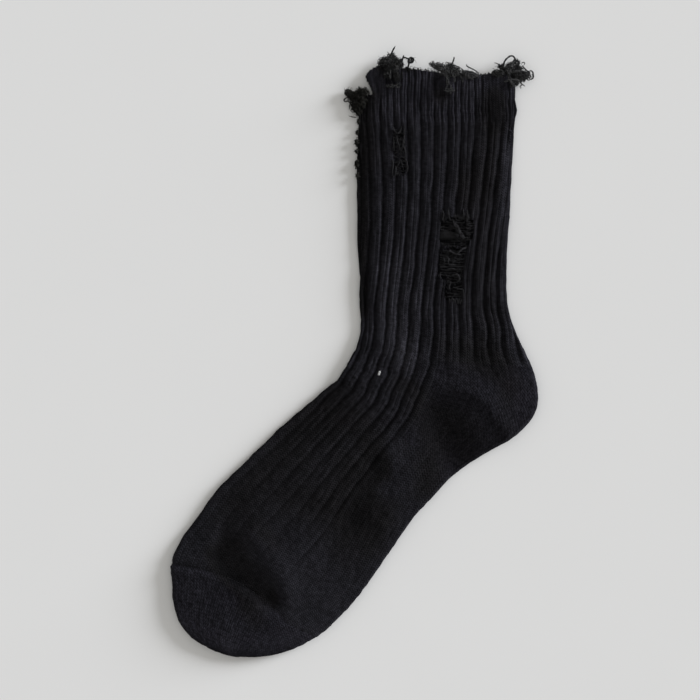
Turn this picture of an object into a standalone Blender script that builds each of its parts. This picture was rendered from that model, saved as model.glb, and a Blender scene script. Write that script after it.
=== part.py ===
"""Holey crew sock in ribbed knit, lying flat on its side.

The sock is one knitted tube, pressed flat so that its two panels lie on each other. Its ring sections run
from the raw cuff edge down the leg, fan round the heel and follow the foot to the toe. One grid of those
rings gives all five knitted regions, and each region is cut from the grid with a small gap at its seams and
given its wall. The holes and the cut front corner of the cuff are Boolean cuts, and the frayed tufts of the
raw edge are short swept solids.

Frame: +Y up the leg, +X towards the heel, +Z up from the surface that the sock lies on, in metres. The
origin is under the middle of the whole sock.
"""

import math
from typing import NamedTuple

import bmesh
import bpy

MM = 0.001

# ---- cloth ----
WALL = 1.8 * MM
SEAM_GAP = 0.34 * MM
TOE_SEAM_GAP = 0.6 * MM    # wider, because the walls lean towards each other where the toe closes in
RAW_EDGE_LIFTS = (2.2, 2.8, 1.9, 0.6, -0.6, -1.4, -2.2, -0.9, -1.0)   # mm, at even shares of the width
SEAM_BOW = 7.0 * MM        # how far the toe seam bows up the foot from a straight ring
SEAM_BOW_END = 0.80        # share of the width, from the front fold, over which it bows
SEAM_BOW_REACH = 2.2       # stations over which the rings beside the seam follow it

# ---- grid of the tube: how many faces run round each stretch of a ring ----
FOLD_FACES = 4
INSTEP_FACES = 8
SOLE_FACES = 7
HEEL_SPLIT = 0.55      # share of the panel's width where the heel ends and the instep starts
ROW_LENGTH = 6.5 * MM  # longest step between two rings
FAN_ROW_LENGTH = 9.0 * MM

KNIT_BLACK = (0.016, 0.015, 0.019, 1.0)
FRAY_BLACK = (0.024, 0.023, 0.027, 1.0)


class Section(NamedTuple):
    """One ring of the flattened tube, in millimetres: its two folds, its heights and where it is highest."""

    name: str
    front_x: float
    front_y: float
    back_x: float
    back_y: float
    edge_height: float
    crown_height: float
    crown_at: float


SECTIONS = (
    #       name          front fold       back fold      edge  crown  crown at
    Section("raw edge",     2.0, 147.2,     85.0, 147.2,   4.3,  4.6,   0.50),
    Section("band",         1.5, 135.0,     84.5, 135.0,   4.3,  4.7,   0.50),
    Section("band fold",    1.5, 127.5,     85.6, 127.5,   4.3,  4.7,   0.50),
    Section("band end",     1.5, 120.5,     84.4, 120.5,   4.3,  4.8,   0.50),
    Section("calf",         1.2,  98.0,     82.9,  98.0,   4.4,  5.0,   0.50),
    Section("mid leg",      1.5,  72.5,     81.5,  72.5,   4.4,  5.1,   0.50),
    Section("lower leg",    1.7,  47.5,     79.9,  47.5,   4.4,  5.1,   0.50),
    Section("shin",         2.8,  26.5,     80.8,  26.5,   4.4,  5.2,   0.52),
    Section("above ankle",  3.2,  14.0,     84.4,  12.0,   4.4,  5.4,   0.58),
    Section("ankle",        1.4,   4.0,     89.5,   1.0,   4.5,  5.8,   0.62),
    Section("heel top",    -1.2,  -1.0,     93.4,  -7.5,   4.6,  6.3,   0.68),
    Section("heel back",   -3.2,  -4.5,     95.6, -15.5,   4.7,  6.8,   0.72),
    Section("heel middle", -4.7,  -7.5,     96.4, -24.5,   4.8,  7.1,   0.74),
    Section("heel turn",   -6.5,  -9.8,     93.5, -33.9,   4.8,  7.1,   0.74),
    Section("heel under",  -8.0, -12.4,     83.6, -43.9,   4.7,  6.9,   0.72),
    Section("heel sole",   -9.3, -14.5,     67.7, -53.2,   4.6,  6.4,   0.66),
    Section("heel end",   -12.8, -16.7,     52.0, -64.0,   4.5,  5.9,   0.58),
    Section("arch",       -19.3, -21.7,     41.2, -75.5,   4.5,  5.7,   0.52),
    Section("low instep", -27.4, -28.6,     32.6, -84.4,   4.5,  5.7,   0.50),
    Section("instep",     -38.9, -38.6,     25.0, -94.9,   4.5,  5.7,   0.50),
    Section("mid foot",   -50.4, -49.6,     16.6, -106.9,  4.5,  5.8,   0.50),
    Section("ball",       -61.4, -60.6,      8.3, -119.2,  4.5,  5.9,   0.50),
    Section("knuckles",   -72.2, -71.9,     -0.3, -130.3,  4.5,  5.9,   0.50),
    Section("toe roots",  -82.2, -86.1,     -7.8, -138.3,  4.5,  6.0,   0.50),
    Section("toe top",    -90.7, -97.7,    -13.4, -143.9,  4.5,  6.2,   0.50),
    Section("toe seam",   -95.8, -109.8,   -19.5, -148.4,  4.5,  6.4,   0.48),
    Section("toe",        -95.3, -119.0,   -25.5, -151.9,  4.5,  6.6,   0.47),
    Section("toe cap",    -94.4, -131.5,   -33.1, -155.3,  4.5,  6.5,   0.46),
    Section("toe bend",   -90.9, -141.7,   -41.3, -157.8,  4.5,  6.2,   0.46),
    Section("toe tip",    -84.9, -149.0,   -48.5, -158.8,  4.5,  5.6,   0.48),
    Section("tip",        -78.4, -152.9,   -54.5, -159.0,  4.4,  4.9,   0.50),
    Section("closing",    -70.6, -156.3,   -59.5, -158.8,  4.3,  4.4,   0.50),
)
STATION = {section.name: place for place, section in enumerate(SECTIONS)}


class Opening(NamedTuple):
    """One hole in the upper panel of the leg, an oval in millimetres and degrees."""

    name: str
    x: float
    y: float
    width: float
    length: float
    turn: float


OPENINGS = (
    #        name           x     y     width  length  turn
    Opening("ladder_top",    54.2, 63.4, 18.2, 16.0,   0.0),
    Opening("ladder_middle", 51.7, 47.4, 13.8, 17.0,   2.0),
    Opening("ladder_foot",   53.4, 33.2,  9.4, 13.4,   2.0),
    Opening("tear_top",      24.5, 110.4, 4.2, 10.8,   0.0),
    Opening("tear_low",      25.6, 98.4,  3.9, 10.0,   2.0),
)
OPENING_SIDES = 18
CUTTER_TOP = 12.0 * MM
SLIT_MIDDLE = 2.45 * MM   # height of the slit between the two panels of the leg

# ---- the cut front corner of the cuff, in millimetres ----
NOTCH_OUTLINE = (
    (-12.0, 160.0), (15.2, 160.0), (14.8, 150.6), (11.5, 149.4), (8.6, 147.9), (6.9, 146.2), (6.4, 144.2),
    (7.4, 141.8), (10.6, 134.7), (-12.0, 134.7),
)


class Fray(NamedTuple):
    """One frayed tuft of the raw edge: half its breadth, the height it lies at and its route, in millimetres."""

    name: str
    half_breadth: float
    height: float
    route: tuple


FRAYS = (
    #     name           half   height  route of x, y
    Fray("fray_front",   2.7,    3.0, ((14.4, 152.6), (18.5, 153.2), (22.6, 153.0), (27.0, 151.6))),
    Fray("fray_middle",  2.4,    2.8, ((40.2, 150.2), (45.5, 149.6), (51.5, 149.2), (57.5, 147.4))),
    Fray("fray_back",    2.7,    3.0, ((73.5, 148.6), (79.5, 149.8), (85.2, 150.4), (89.4, 147.6), (91.8, 143.8))),
    Fray("fray_shin",    2.3,    2.4, ((7.0, 137.2), (2.2, 137.6), (-1.9, 136.4), (-2.6, 132.8), (-1.4, 126.6))),
)
FRAY_FLATTENING = 0.62     # height of a tuft's oval section as a share of its breadth
FRAY_TAPER = 0.6           # size of a tuft's ends as a share of its middle
FRAY_ROUTE_POINTS = 12
FRAY_SIDES = 10


# ---------------------------------------------------------------- curves through the table

def hermite(before, start, end, after, share):
    """Value at a share of the way from start to end, on the smooth curve through all four values."""
    slope_in = (end - before) / 2.0
    slope_out = (after - start) / 2.0
    square = share * share
    cube = square * share
    return (
        (2.0 * cube - 3.0 * square + 1.0) * start
        + (cube - 2.0 * square + share) * slope_in
        + (3.0 * square - 2.0 * cube) * end
        + (cube - square) * slope_out
    )


def along(values, place):
    """Smooth value at a fractional place along a list of values."""
    last = len(values) - 1
    index = min(int(place), last - 1)
    around = [values[min(max(index + step, 0), last)] for step in (-1, 0, 1, 2)]
    return hermite(*around, place - index)


def section_at(place):
    """Section at a fractional station of the table, as a Section in metres."""
    sizes = [along([section[field] for section in SECTIONS], place) * MM for field in range(1, 7)]
    crown_at = along([section.crown_at for section in SECTIONS], place)
    return Section("", *sizes, crown_at)


# ---------------------------------------------------------------- one ring

def across_shares():
    """Shares of the width between the folds where the panels have their columns, folds included."""
    half_gap = SEAM_GAP / 2.0 / (SECTIONS[STATION["lower leg"]].back_x * MM)
    front = [(HEEL_SPLIT - half_gap) * step / INSTEP_FACES for step in range(INSTEP_FACES + 1)]
    back_start = HEEL_SPLIT + half_gap
    back = [back_start + (1.0 - back_start) * step / SOLE_FACES for step in range(SOLE_FACES + 1)]
    return front + back


SHARES = across_shares()


def panel_height(section, share):
    """Height of the upper panel at a share of the width between the folds."""
    skew = math.log(0.5) / math.log(section.crown_at)
    rise = section.crown_height - section.edge_height
    return section.edge_height + rise * math.sin(math.pi * share ** skew) ** 1.2


def raw_edge_shift(place, share):
    """How far the raw edge waves up or down the leg, fading out at the end of the band."""
    fade = max(0.0, 1.0 - place / STATION["band end"])
    return fade * along(RAW_EDGE_LIFTS, share * (len(RAW_EDGE_LIFTS) - 1)) * MM


def seam_bow(place, share):
    """How far the rings near the toe seam bow up the foot at a share of the width."""
    swell = share / SEAM_BOW_END
    if not 0.0 < swell < 1.0:
        return 0.0
    stations = (place - STATION["toe seam"]) / SEAM_BOW_REACH
    return SEAM_BOW * math.sin(math.pi * swell) * math.exp(-stations * stations)


def ring(place):
    """Points of one ring: the front fold, the upper panel, the back fold, then the lower panel."""
    section = section_at(place)
    width = math.hypot(section.back_x - section.front_x, section.back_y - section.front_y)
    radius = section.edge_height / 2.0
    inner_width = width - 2.0 * radius
    profile = []
    for step in range(1, FOLD_FACES):
        angle = math.pi * step / FOLD_FACES
        profile.append((radius - radius * math.sin(angle), radius - radius * math.cos(angle)))
    for share in SHARES:
        profile.append((radius + inner_width * share, panel_height(section, share)))
    for step in range(1, FOLD_FACES):
        angle = math.pi * step / FOLD_FACES
        profile.append((width - radius + radius * math.sin(angle), radius + radius * math.cos(angle)))
    for share in reversed(SHARES):
        profile.append((radius + inner_width * share, 0.0))
    run_x = section.back_x - section.front_x
    run_y = section.back_y - section.front_y
    points = []
    for across, height in profile:
        share = across / width
        bow = seam_bow(place, share) / width
        points.append((
            section.front_x + run_x * share - run_y * bow,
            section.front_y + run_y * share + run_x * bow + raw_edge_shift(place, share),
            height,
        ))
    return points


# ---------------------------------------------------------------- rows of the grid

def travel(place, share):
    """Distance that a point at a share of the width travels for one station, near a place."""
    step = 0.02
    low, high = section_at(max(0.0, place - step)), section_at(min(len(SECTIONS) - 1.0, place + step))
    ends = []
    for section in (low, high):
        ends.append((
            section.front_x + (section.back_x - section.front_x) * share,
            section.front_y + (section.back_y - section.front_y) * share,
        ))
    return math.dist(*ends) / (2.0 * step)


def rows_between(start, end, longest, share=0.5):
    """Places of the rings from start to end, none further apart than longest at that share."""
    places = [start]
    station = start
    while station < end - 1e-6:
        stop = min(math.floor(station + 1e-6) + 1.0, end)
        length = travel((station + stop) / 2.0, share) * (stop - station)
        steps = max(1, math.ceil(length / longest))
        places += [station + (stop - station) * step / steps for step in range(1, steps + 1)]
        station = stop
    return places


def seam(name, share, gap=SEAM_GAP):
    """The two places either side of a seam, a gap apart at that share of the width."""
    place = STATION[name]
    half = gap / 2.0 / travel(place, share)
    return place - half, place + half


CUFF_END, LEG_START = seam("band end", 0.0)
LEG_END, HEEL_START = seam("heel top", 0.0)
HEEL_END, SOLE_START = seam("heel end", HEEL_SPLIT)
FOOT_END, TOE_START = seam("toe seam", 1.0, TOE_SEAM_GAP)

ROW_BANDS = (
    # region above the seam, first place, last place, longest row, share where the row is measured
    ("cuff", 0.0, CUFF_END, ROW_LENGTH, 0.5),
    ("leg", LEG_START, LEG_END, ROW_LENGTH, 0.5),
    ("heel", HEEL_START, HEEL_END, FAN_ROW_LENGTH, 1.0),
    ("foot", SOLE_START, FOOT_END, ROW_LENGTH, 0.5),
    ("toe", TOE_START, len(SECTIONS) - 1.0, ROW_LENGTH, 0.5),
)
REGIONS = tuple(band[0] for band in ROW_BANDS)


def build_rows():
    """All places of the grid's rings, and the region that the strip after each ring is in."""
    places, strips = [], []
    for region, start, end, longest, share in ROW_BANDS:
        band = rows_between(start, end, longest, share)
        places += band
        strips += [region] * (len(band) - 1) + ["seam before next"]
    return places, strips[:-1]


def column_kinds():
    """For each strip between two columns of a ring: instep, sole or split."""
    panel = ["instep"] * INSTEP_FACES + ["split"] + ["sole"] * SOLE_FACES
    front_fold = ["instep"] * (FOLD_FACES - 1)
    back_fold = ["sole"] * FOLD_FACES
    return front_fold + panel + back_fold + panel[::-1] + ["instep"]


def region_of(strip, column, following):
    """Region of one face of the grid, or None where a seam leaves a gap."""
    if strip == "heel":
        return {"instep": "foot", "sole": "heel", "split": None}[column]
    if strip == "seam before next":
        return "foot" if following == "foot" and column == "instep" else None
    return strip


# ---------------------------------------------------------------- solids

def knit_material(name, colour, roughness):
    """Principled material of one piece."""
    material = bpy.data.materials.new(name)
    material.use_nodes = True
    shader = material.node_tree.nodes["Principled BSDF"]
    shader.inputs["Base Color"].default_value = colour
    shader.inputs["Roughness"].default_value = roughness
    shader.inputs["Metallic"].default_value = 0.0
    material.diffuse_color = colour
    return material


def add_object(name, mesh, collection):
    """Put a mesh into a collection under a node name."""
    piece = bpy.data.objects.new(name, mesh)
    collection.objects.link(piece)
    return piece


def add_region(name, rings, strips, collection):
    """Cut one region from the grid of rings and give it its wall."""
    kinds = column_kinds()
    build = bmesh.new()
    made = {}

    def vertex(row, column):
        key = (row, column % len(kinds))
        if key not in made:
            made[key] = build.verts.new(rings[row][key[1]])
        return made[key]

    for row, strip in enumerate(strips):
        following = strips[row + 1] if row + 1 < len(strips) else strip
        for column, kind in enumerate(kinds):
            if region_of(strip, kind, following) == name:
                build.faces.new((
                    vertex(row, column),
                    vertex(row, column + 1),
                    vertex(row + 1, column + 1),
                    vertex(row + 1, column),
                ))
    if name == "toe":
        last = len(rings) - 1
        build.faces.new([vertex(last, column) for column in range(len(kinds))])
    bmesh.ops.recalc_face_normals(build, faces=build.faces)
    mesh = bpy.data.meshes.new(name)
    build.to_mesh(mesh)
    build.free()
    mesh.materials.append(knit_material(name, KNIT_BLACK, 0.95))
    piece = add_object(name, mesh, collection)
    wall = piece.modifiers.new("wall", "SOLIDIFY")
    wall.thickness = WALL
    wall.offset = -1.0
    return piece


def add_cutter(name, outline, low, high, collection):
    """Upright prism over an outline, used as a Boolean cutter."""
    build = bmesh.new()
    base = build.faces.new([build.verts.new((x * MM, y * MM, low)) for x, y in outline])
    raised = bmesh.ops.extrude_face_region(build, geom=[base])
    lifted = [item for item in raised["geom"] if isinstance(item, bmesh.types.BMVert)]
    bmesh.ops.translate(build, verts=lifted, vec=(0.0, 0.0, high - low))
    bmesh.ops.recalc_face_normals(build, faces=build.faces)
    mesh = bpy.data.meshes.new(name)
    build.to_mesh(mesh)
    build.free()
    cutter = add_object(name, mesh, collection)
    cutter.hide_render = True
    cutter.display_type = "WIRE"
    return cutter


def oval(opening):
    """Outline of one opening, anticlockwise."""
    turn = math.radians(opening.turn)
    points = []
    for step in range(OPENING_SIDES):
        angle = 2.0 * math.pi * step / OPENING_SIDES
        x = opening.width / 2.0 * math.cos(angle)
        y = opening.length / 2.0 * math.sin(angle)
        points.append((
            opening.x + x * math.cos(turn) - y * math.sin(turn),
            opening.y + x * math.sin(turn) + y * math.cos(turn),
        ))
    return points


def cut(piece, cutter):
    """Take a cutter out of a piece."""
    modifier = piece.modifiers.new(cutter.name, "BOOLEAN")
    modifier.operation = "DIFFERENCE"
    modifier.solver = "EXACT"
    modifier.object = cutter


def add_fray_section(collection):
    """Oval of unit half-breadth that the frayed tufts are swept with."""
    curve = bpy.data.curves.new("fray_section", "CURVE")
    curve.dimensions = "2D"
    spline = curve.splines.new("POLY")
    spline.points.add(FRAY_SIDES - 1)
    spline.use_cyclic_u = True
    for index, point in enumerate(spline.points):
        angle = -2.0 * math.pi * index / FRAY_SIDES
        point.co = (MM * math.cos(angle), FRAY_FLATTENING * MM * math.sin(angle), 0.0, 1.0)
    section = add_object("fray_section", curve, collection)
    section.hide_render = True
    section.display_type = "WIRE"
    return section


def add_fray(fray, section, collection):
    """Plain swept solid of one frayed tuft's reach, smaller at both ends."""
    curve = bpy.data.curves.new(fray.name, "CURVE")
    curve.dimensions = "3D"
    curve.twist_mode = "Z_UP"
    curve.bevel_mode = "OBJECT"
    curve.bevel_object = section
    curve.use_fill_caps = True
    spline = curve.splines.new("POLY")
    spline.points.add(FRAY_ROUTE_POINTS - 1)
    for index, point in enumerate(spline.points):
        share = index / (FRAY_ROUTE_POINTS - 1)
        place = share * (len(fray.route) - 1)
        x = along([corner[0] for corner in fray.route], place)
        y = along([corner[1] for corner in fray.route], place)
        point.co = (x * MM, y * MM, fray.height * MM, 1.0)
        point.radius = fray.half_breadth * (FRAY_TAPER + (1.0 - FRAY_TAPER) * math.sin(math.pi * share))
    curve.materials.append(knit_material(fray.name, FRAY_BLACK, 0.98))
    return add_object(fray.name, curve, collection)


def new_collection(name):
    """New collection in the scene."""
    collection = bpy.data.collections.new(name)
    bpy.context.scene.collection.children.link(collection)
    return collection


def main():
    """Build the sock, its holes and its tufts."""
    for old in list(bpy.data.objects):
        bpy.data.objects.remove(old, do_unlink=True)
    sock = new_collection("holey_sock")
    cutters = new_collection("cutters")

    places, strips = build_rows()
    rings = [ring(place) for place in places]
    pieces = {name: add_region(name, rings, strips, sock) for name in REGIONS}

    for opening in OPENINGS:
        cut(pieces["leg"], add_cutter(opening.name, oval(opening), SLIT_MIDDLE, CUTTER_TOP, cutters))
    cut(pieces["cuff"], add_cutter("front_corner", NOTCH_OUTLINE, -CUTTER_TOP, CUTTER_TOP, cutters))

    section = add_fray_section(cutters)
    for fray in FRAYS:
        add_fray(fray, section, sock)


main()
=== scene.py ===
"""Looks of a holey crew sock: knitted shells, holes, frayed yarn, floor, light and camera.

The sock is one knitted tube, pressed flat on its side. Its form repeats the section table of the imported
model, and the knitted shells follow that form with their ribs, creases and stitches. Each shell stands for
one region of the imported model, and loose yarn stands for the frayed tufts.

Frame: +Y up the leg, +X towards the heel, +Z up from the floor, in metres. Tables are in millimetres.
A place counts the stations of the section table from the raw edge to the toe. A wale counts the ribs round
the tube: its whole numbers are the grooves between ribs, and 1 is the first groove from the front fold.
"""

import logging
import math
import random
from dataclasses import dataclass, field, replace
from enum import Enum
from functools import cache
from typing import Callable, Iterator, Sequence

import bmesh
import bpy
from mathutils import Matrix, Vector, noise
from mathutils.bvhtree import BVHTree

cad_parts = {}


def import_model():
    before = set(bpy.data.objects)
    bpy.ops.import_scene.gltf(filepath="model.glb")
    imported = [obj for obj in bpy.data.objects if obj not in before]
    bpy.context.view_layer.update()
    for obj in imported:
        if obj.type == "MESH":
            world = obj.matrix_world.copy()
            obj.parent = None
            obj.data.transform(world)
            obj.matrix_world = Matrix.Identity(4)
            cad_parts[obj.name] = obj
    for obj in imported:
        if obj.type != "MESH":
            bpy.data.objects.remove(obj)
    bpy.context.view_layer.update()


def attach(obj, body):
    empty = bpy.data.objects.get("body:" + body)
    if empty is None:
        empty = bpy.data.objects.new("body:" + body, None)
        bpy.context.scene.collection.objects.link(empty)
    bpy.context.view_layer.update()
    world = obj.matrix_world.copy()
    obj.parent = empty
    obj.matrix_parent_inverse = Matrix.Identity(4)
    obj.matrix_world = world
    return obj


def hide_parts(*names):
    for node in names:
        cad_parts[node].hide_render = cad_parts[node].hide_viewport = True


LOG = logging.getLogger("holey_sock")
MM = 0.001
UP = Vector((0.0, 0.0, 1.0))

Point = tuple[float, float, float]
Colour = tuple[float, float, float]
Piece = bpy.types.Object
Node = bpy.types.Node
Socket = bpy.types.NodeSocket


class Slot(Enum):
    """Material slots of the record."""

    CUFF = "cuff_knit"
    RIB = "rib_knit"
    PLAIN = "plain_knit"
    YARN = "frayed_yarn"


class Side(Enum):
    """The two panels of the pressed tube."""

    UPPER = "upper"
    LOWER = "lower"


# ---- small helpers

def smooth_step(low: float, high: float, value: float) -> float:
    """Smooth rise from 0 where the value is low to 1 where it is high."""
    share = min(max((value - low) / (high - low), 0.0), 1.0)
    return share * share * (3.0 - 2.0 * share)


def along(values: Sequence[float], place: float) -> float:
    """Smooth value at a fractional place along a list of values.

    Args:
        values: The values at the whole places.
        place: Where to read, from 0 to the last place.

    Returns:
        The value there, on the smooth curve through the four values round it.
    """
    last = len(values) - 1
    index = min(int(place), last - 1)
    before, start, end, after = (values[min(max(index + step, 0), last)] for step in (-1, 0, 1, 2))
    share = place - index
    square = share * share
    cube = square * share
    return (
        (2.0 * cube - 3.0 * square + 1.0) * start
        + (cube - 2.0 * square + share) * (end - before) / 2.0
        + (3.0 * square - 2.0 * cube) * end
        + (cube - square) * (after - start) / 2.0
    )


def table(kind: type, *rows: tuple) -> tuple:
    """Rows of a table, each made into one of a kind from its fields in order."""
    return tuple(kind(*row) for row in rows)


def smooth_route(corners: Sequence[Sequence[float]], steps: int) -> list[Vector]:
    """Points of the smooth curve through the corners, in metres.

    Args:
        corners: Points in millimetres.
        steps: Points to make for each stretch between two corners.

    Returns:
        The points, first and last corner included.
    """
    axes = list(zip(*corners))
    count = (len(corners) - 1) * steps
    return [Vector([along(axis, step / steps) for axis in axes]) * MM for step in range(count + 1)]


# ---- form of the tube

@dataclass(frozen=True)
class Section:
    """One ring of the flattened tube, in millimetres: its two folds, its heights and where its grooves lie.

    The crown is its height on the flat stretch, highest at the share crown_at of its width. The grooves are
    counted from the front fold: paced of them have the stated pitch, bunched by gather, and the rest are
    spread evenly. The ribs' depths are shares, over the front of the sock, over its back, and the fine ribs.
    """

    name: str
    front_x: float
    front_y: float
    back_x: float
    back_y: float
    edge: float
    crown: float
    crown_at: float
    first: float
    pitch: float
    front_rib: float
    back_rib: float = 0.0
    gather: float = 0.0
    paced: float = 7.0
    fine_rib: float = 0.0


SECTIONS = table(
    Section,
    # name, front fold x and y, back fold x and y, edge, crown and where, first groove, pitch,
    # ribs in front and at the back, gather, paced, fine ribs
    ("raw edge",        2,  147.2,    85,  147.2, 4.3, 4.6, 0.5, 5.2, 7, 0.1, 0.1, 0, 12, 1),
    ("band",          1.5,    135,  84.5,    135, 4.3, 4.7, 0.5, 5.2, 7.05, 0.12, 0.12, 0, 12, 1),
    ("band fold",     1.5,  127.5,  85.6,  127.5, 4.3, 4.7, 0.5, 5.2, 7.05, 0.2, 0.2, 0, 12, 1),
    ("band end",      1.5,  120.5,  84.4,  120.5, 4.3, 4.8, 0.5, 5.3, 7.05, 0.65, 0.65, 0, 12, 0.45),
    ("calf",          1.2,     98,  82.9,     98, 4.4, 5, 0.5, 7.2, 6.7, 1, 1, 0, 12),
    ("mid leg",       1.5,   72.5,  81.5,   72.5, 4.4, 5.1, 0.5, 7.6, 6.3, 1, 1, 0, 12),
    ("lower leg",     1.7,   47.5,  79.9,   47.5, 4.4, 5.1, 0.5, 5.9, 6.14, 1.18, 1, 0.1, 12),
    ("shin",          2.8,   26.5,  80.8,   26.5, 4.4, 5.2, 0.52, 2.7, 6.3, 1.25, 1, -1.2, 12),
    ("above ankle",   3.2,     14,  84.4,     12, 4.4, 5.4, 0.58, 2.1, 6.55, 1.2, 1, -2.8, 12),
    ("ankle",         1.4,      4,  89.5,      1, 4.5, 5.8, 0.62, 2.6, 6.6, 1, 0.9, -2.7, 11),
    ("heel top",     -1.2,     -1,  93.4,   -7.5, 4.6, 6.3, 0.68, 3.1, 6.6, 1, 0.3, -1.6, 9),
    ("heel back",    -3.2,   -4.5,  95.6,  -15.5, 4.7, 6.8, 0.72, 3.1, 6.55, 1, 0, -0.8, 7.5),
    ("heel middle",  -4.7,   -7.5,  96.4,  -24.5, 4.8, 7.1, 0.74, 3.1, 6.5, 1),
    ("heel turn",    -6.5,   -9.8,  93.5,  -33.9, 4.8, 7.1, 0.74, 3.1, 6.48, 1),
    ("heel under",     -8,  -12.4,  83.6,  -43.9, 4.7, 6.9, 0.72, 3.1, 6.48, 1),
    ("heel sole",    -9.3,  -14.5,  67.7,  -53.2, 4.6, 6.4, 0.66, 3.3, 6.5, 1),
    ("heel end",    -12.8,  -16.7,    52,    -64, 4.5, 5.9, 0.58, 3.9, 6.6, 1),
    ("arch",        -19.3,  -21.7,  41.2,  -75.5, 4.5, 5.7, 0.52, 4.5, 6.75, 0.85),
    ("low instep",  -27.4,  -28.6,  32.6,  -84.4, 4.5, 5.7, 0.5, 5.4, 6.95, 0.75),
    ("instep",      -38.9,  -38.6,    25,  -94.9, 4.5, 5.7, 0.5, 6.1, 7.3, 0.65),
    ("mid foot",    -50.4,  -49.6,  16.6, -106.9, 4.5, 5.8, 0.5, 5.7, 8, 0.58),
    ("ball",        -61.4,  -60.6,   8.3, -119.2, 4.5, 5.9, 0.5, 5.3, 8.5, 0.48),
    ("knuckles",    -72.2,  -71.9,  -0.3, -130.3, 4.5, 5.9, 0.5, 4.9, 8.6, 0.28),
    ("toe roots",   -82.2,  -86.1,  -7.8, -138.3, 4.5, 6, 0.5, 4.8, 8.3, 0.1),
    ("toe top",     -90.7,  -97.7, -13.4, -143.9, 4.5, 6.2, 0.5, 4, 7.7, 0),
    ("toe seam",    -95.8, -109.8, -19.5, -148.4, 4.5, 6.4, 0.48, 3.6, 7.1, 0),
    ("toe",         -95.3,   -119, -25.5, -151.9, 4.5, 6.6, 0.47, 3.3, 6.3, 0),
    ("toe cap",     -94.4, -131.5, -33.1, -155.3, 4.5, 6.5, 0.46, 2.8, 5.35, 0),
    ("toe bend",    -90.9, -141.7, -41.3, -157.8, 4.5, 6.2, 0.46, 2.2, 4.3, 0),
    ("toe tip",     -84.9,   -149, -48.5, -158.8, 4.5, 5.6, 0.48, 1.6, 3.18, 0),
    ("tip",         -78.4, -152.9, -54.5,   -159, 4.4, 4.9, 0.5, 1.1, 2.15, 0),
    ("closing",     -70.6, -156.3, -59.5, -158.8, 4.3, 4.4, 0.5, 0.6, 1.1, 0),
)
STATION = {section.name: place for place, section in enumerate(SECTIONS)}
LAST_PLACE = len(SECTIONS) - 1
TRACKS = {
    name: [getattr(section, name) for section in SECTIONS]
    for name in Section.__dataclass_fields__ if name != "name"
}

RIBS = 25  # ribs all round the tube
FINE_RIBS = 50  # fine ribs all round the band
FRONT_LOW = 18.5  # wale where the front of the sock starts, on the underside
FRONT_HIGH = 32.5  # wale where it ends, past the seventh groove of the upper panel
FIRST_WALE = FRONT_LOW  # wale where the grid's first column runs
UPPER_START = 25.5  # wales between which the upper panel lies
UPPER_END = 38.5
TOE_CAP = 1.0  # places added past the last station to close the toe
CAP_REACH = 0.8 * MM  # how far the closed toe bulges past the last ring
INNER_CLEARANCE = 0.2 * MM  # least height of the wall's inner face above the floor

SEAM_BOW = 7.0 * MM  # how far the toe seam bows up the foot from a straight ring
SEAM_BOW_END = 0.80  # share of the width, from the front fold, over which it bows
SEAM_BOW_REACH = 2.2  # stations over which the rings beside the seam follow it

RAW_EDGE_LIFTS = (2.2, 2.8, 1.9, 0.6, -0.6, -1.4, -2.2, -0.9, -1.0)  # mm, at even shares of the width


@dataclass(frozen=True)
class Stroke:
    """A soft mark along a route, in millimetres: a trough or ridge, or a change of tone or relief.

    The change is its amount on the route, negative for a trough or a dull patch. A height is measured away
    from the cloth's own side. The breadth is how far the mark reaches on the left of the way along the
    route, and right_breadth on its right, or as far where that is 0.
    """

    route: tuple[tuple[float, float], ...]
    breadth: float
    change: float
    right_breadth: float = 0.0

    def amount(self, x: float, y: float) -> float:
        """How much the mark changes the cloth at a point.

        Args:
            x: Place along X, in millimetres.
            y: Place along Y.

        Returns:
            The change there.
        """
        nearest, reach = math.inf, self.breadth
        for (start_x, start_y), (end_x, end_y) in zip(self.route, self.route[1:]):
            run_x, run_y = end_x - start_x, end_y - start_y
            from_x, from_y = x - start_x, y - start_y
            length_squared = run_x * run_x + run_y * run_y
            near = min(max((from_x * run_x + from_y * run_y) / length_squared, 0.0), 1.0)
            off_squared = (from_x - run_x * near) ** 2 + (from_y - run_y * near) ** 2
            if off_squared < nearest:
                nearest = off_squared
                across = (run_x * from_y - run_y * from_x) / math.sqrt(length_squared)
        if self.right_breadth:
            left = smooth_step(-1.0, 1.0, across / min(self.breadth, self.right_breadth))
            reach = self.right_breadth + (self.breadth - self.right_breadth) * left
        return self.change * math.exp(-nearest / (reach * reach)) if nearest < 6.0 * reach * reach else 0.0


def marked(strokes: Sequence[Stroke], spot: Vector) -> float:
    """Sum of what the strokes change at a point in metres."""
    return sum(stroke.amount(spot.x / MM, spot.y / MM) for stroke in strokes)


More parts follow.
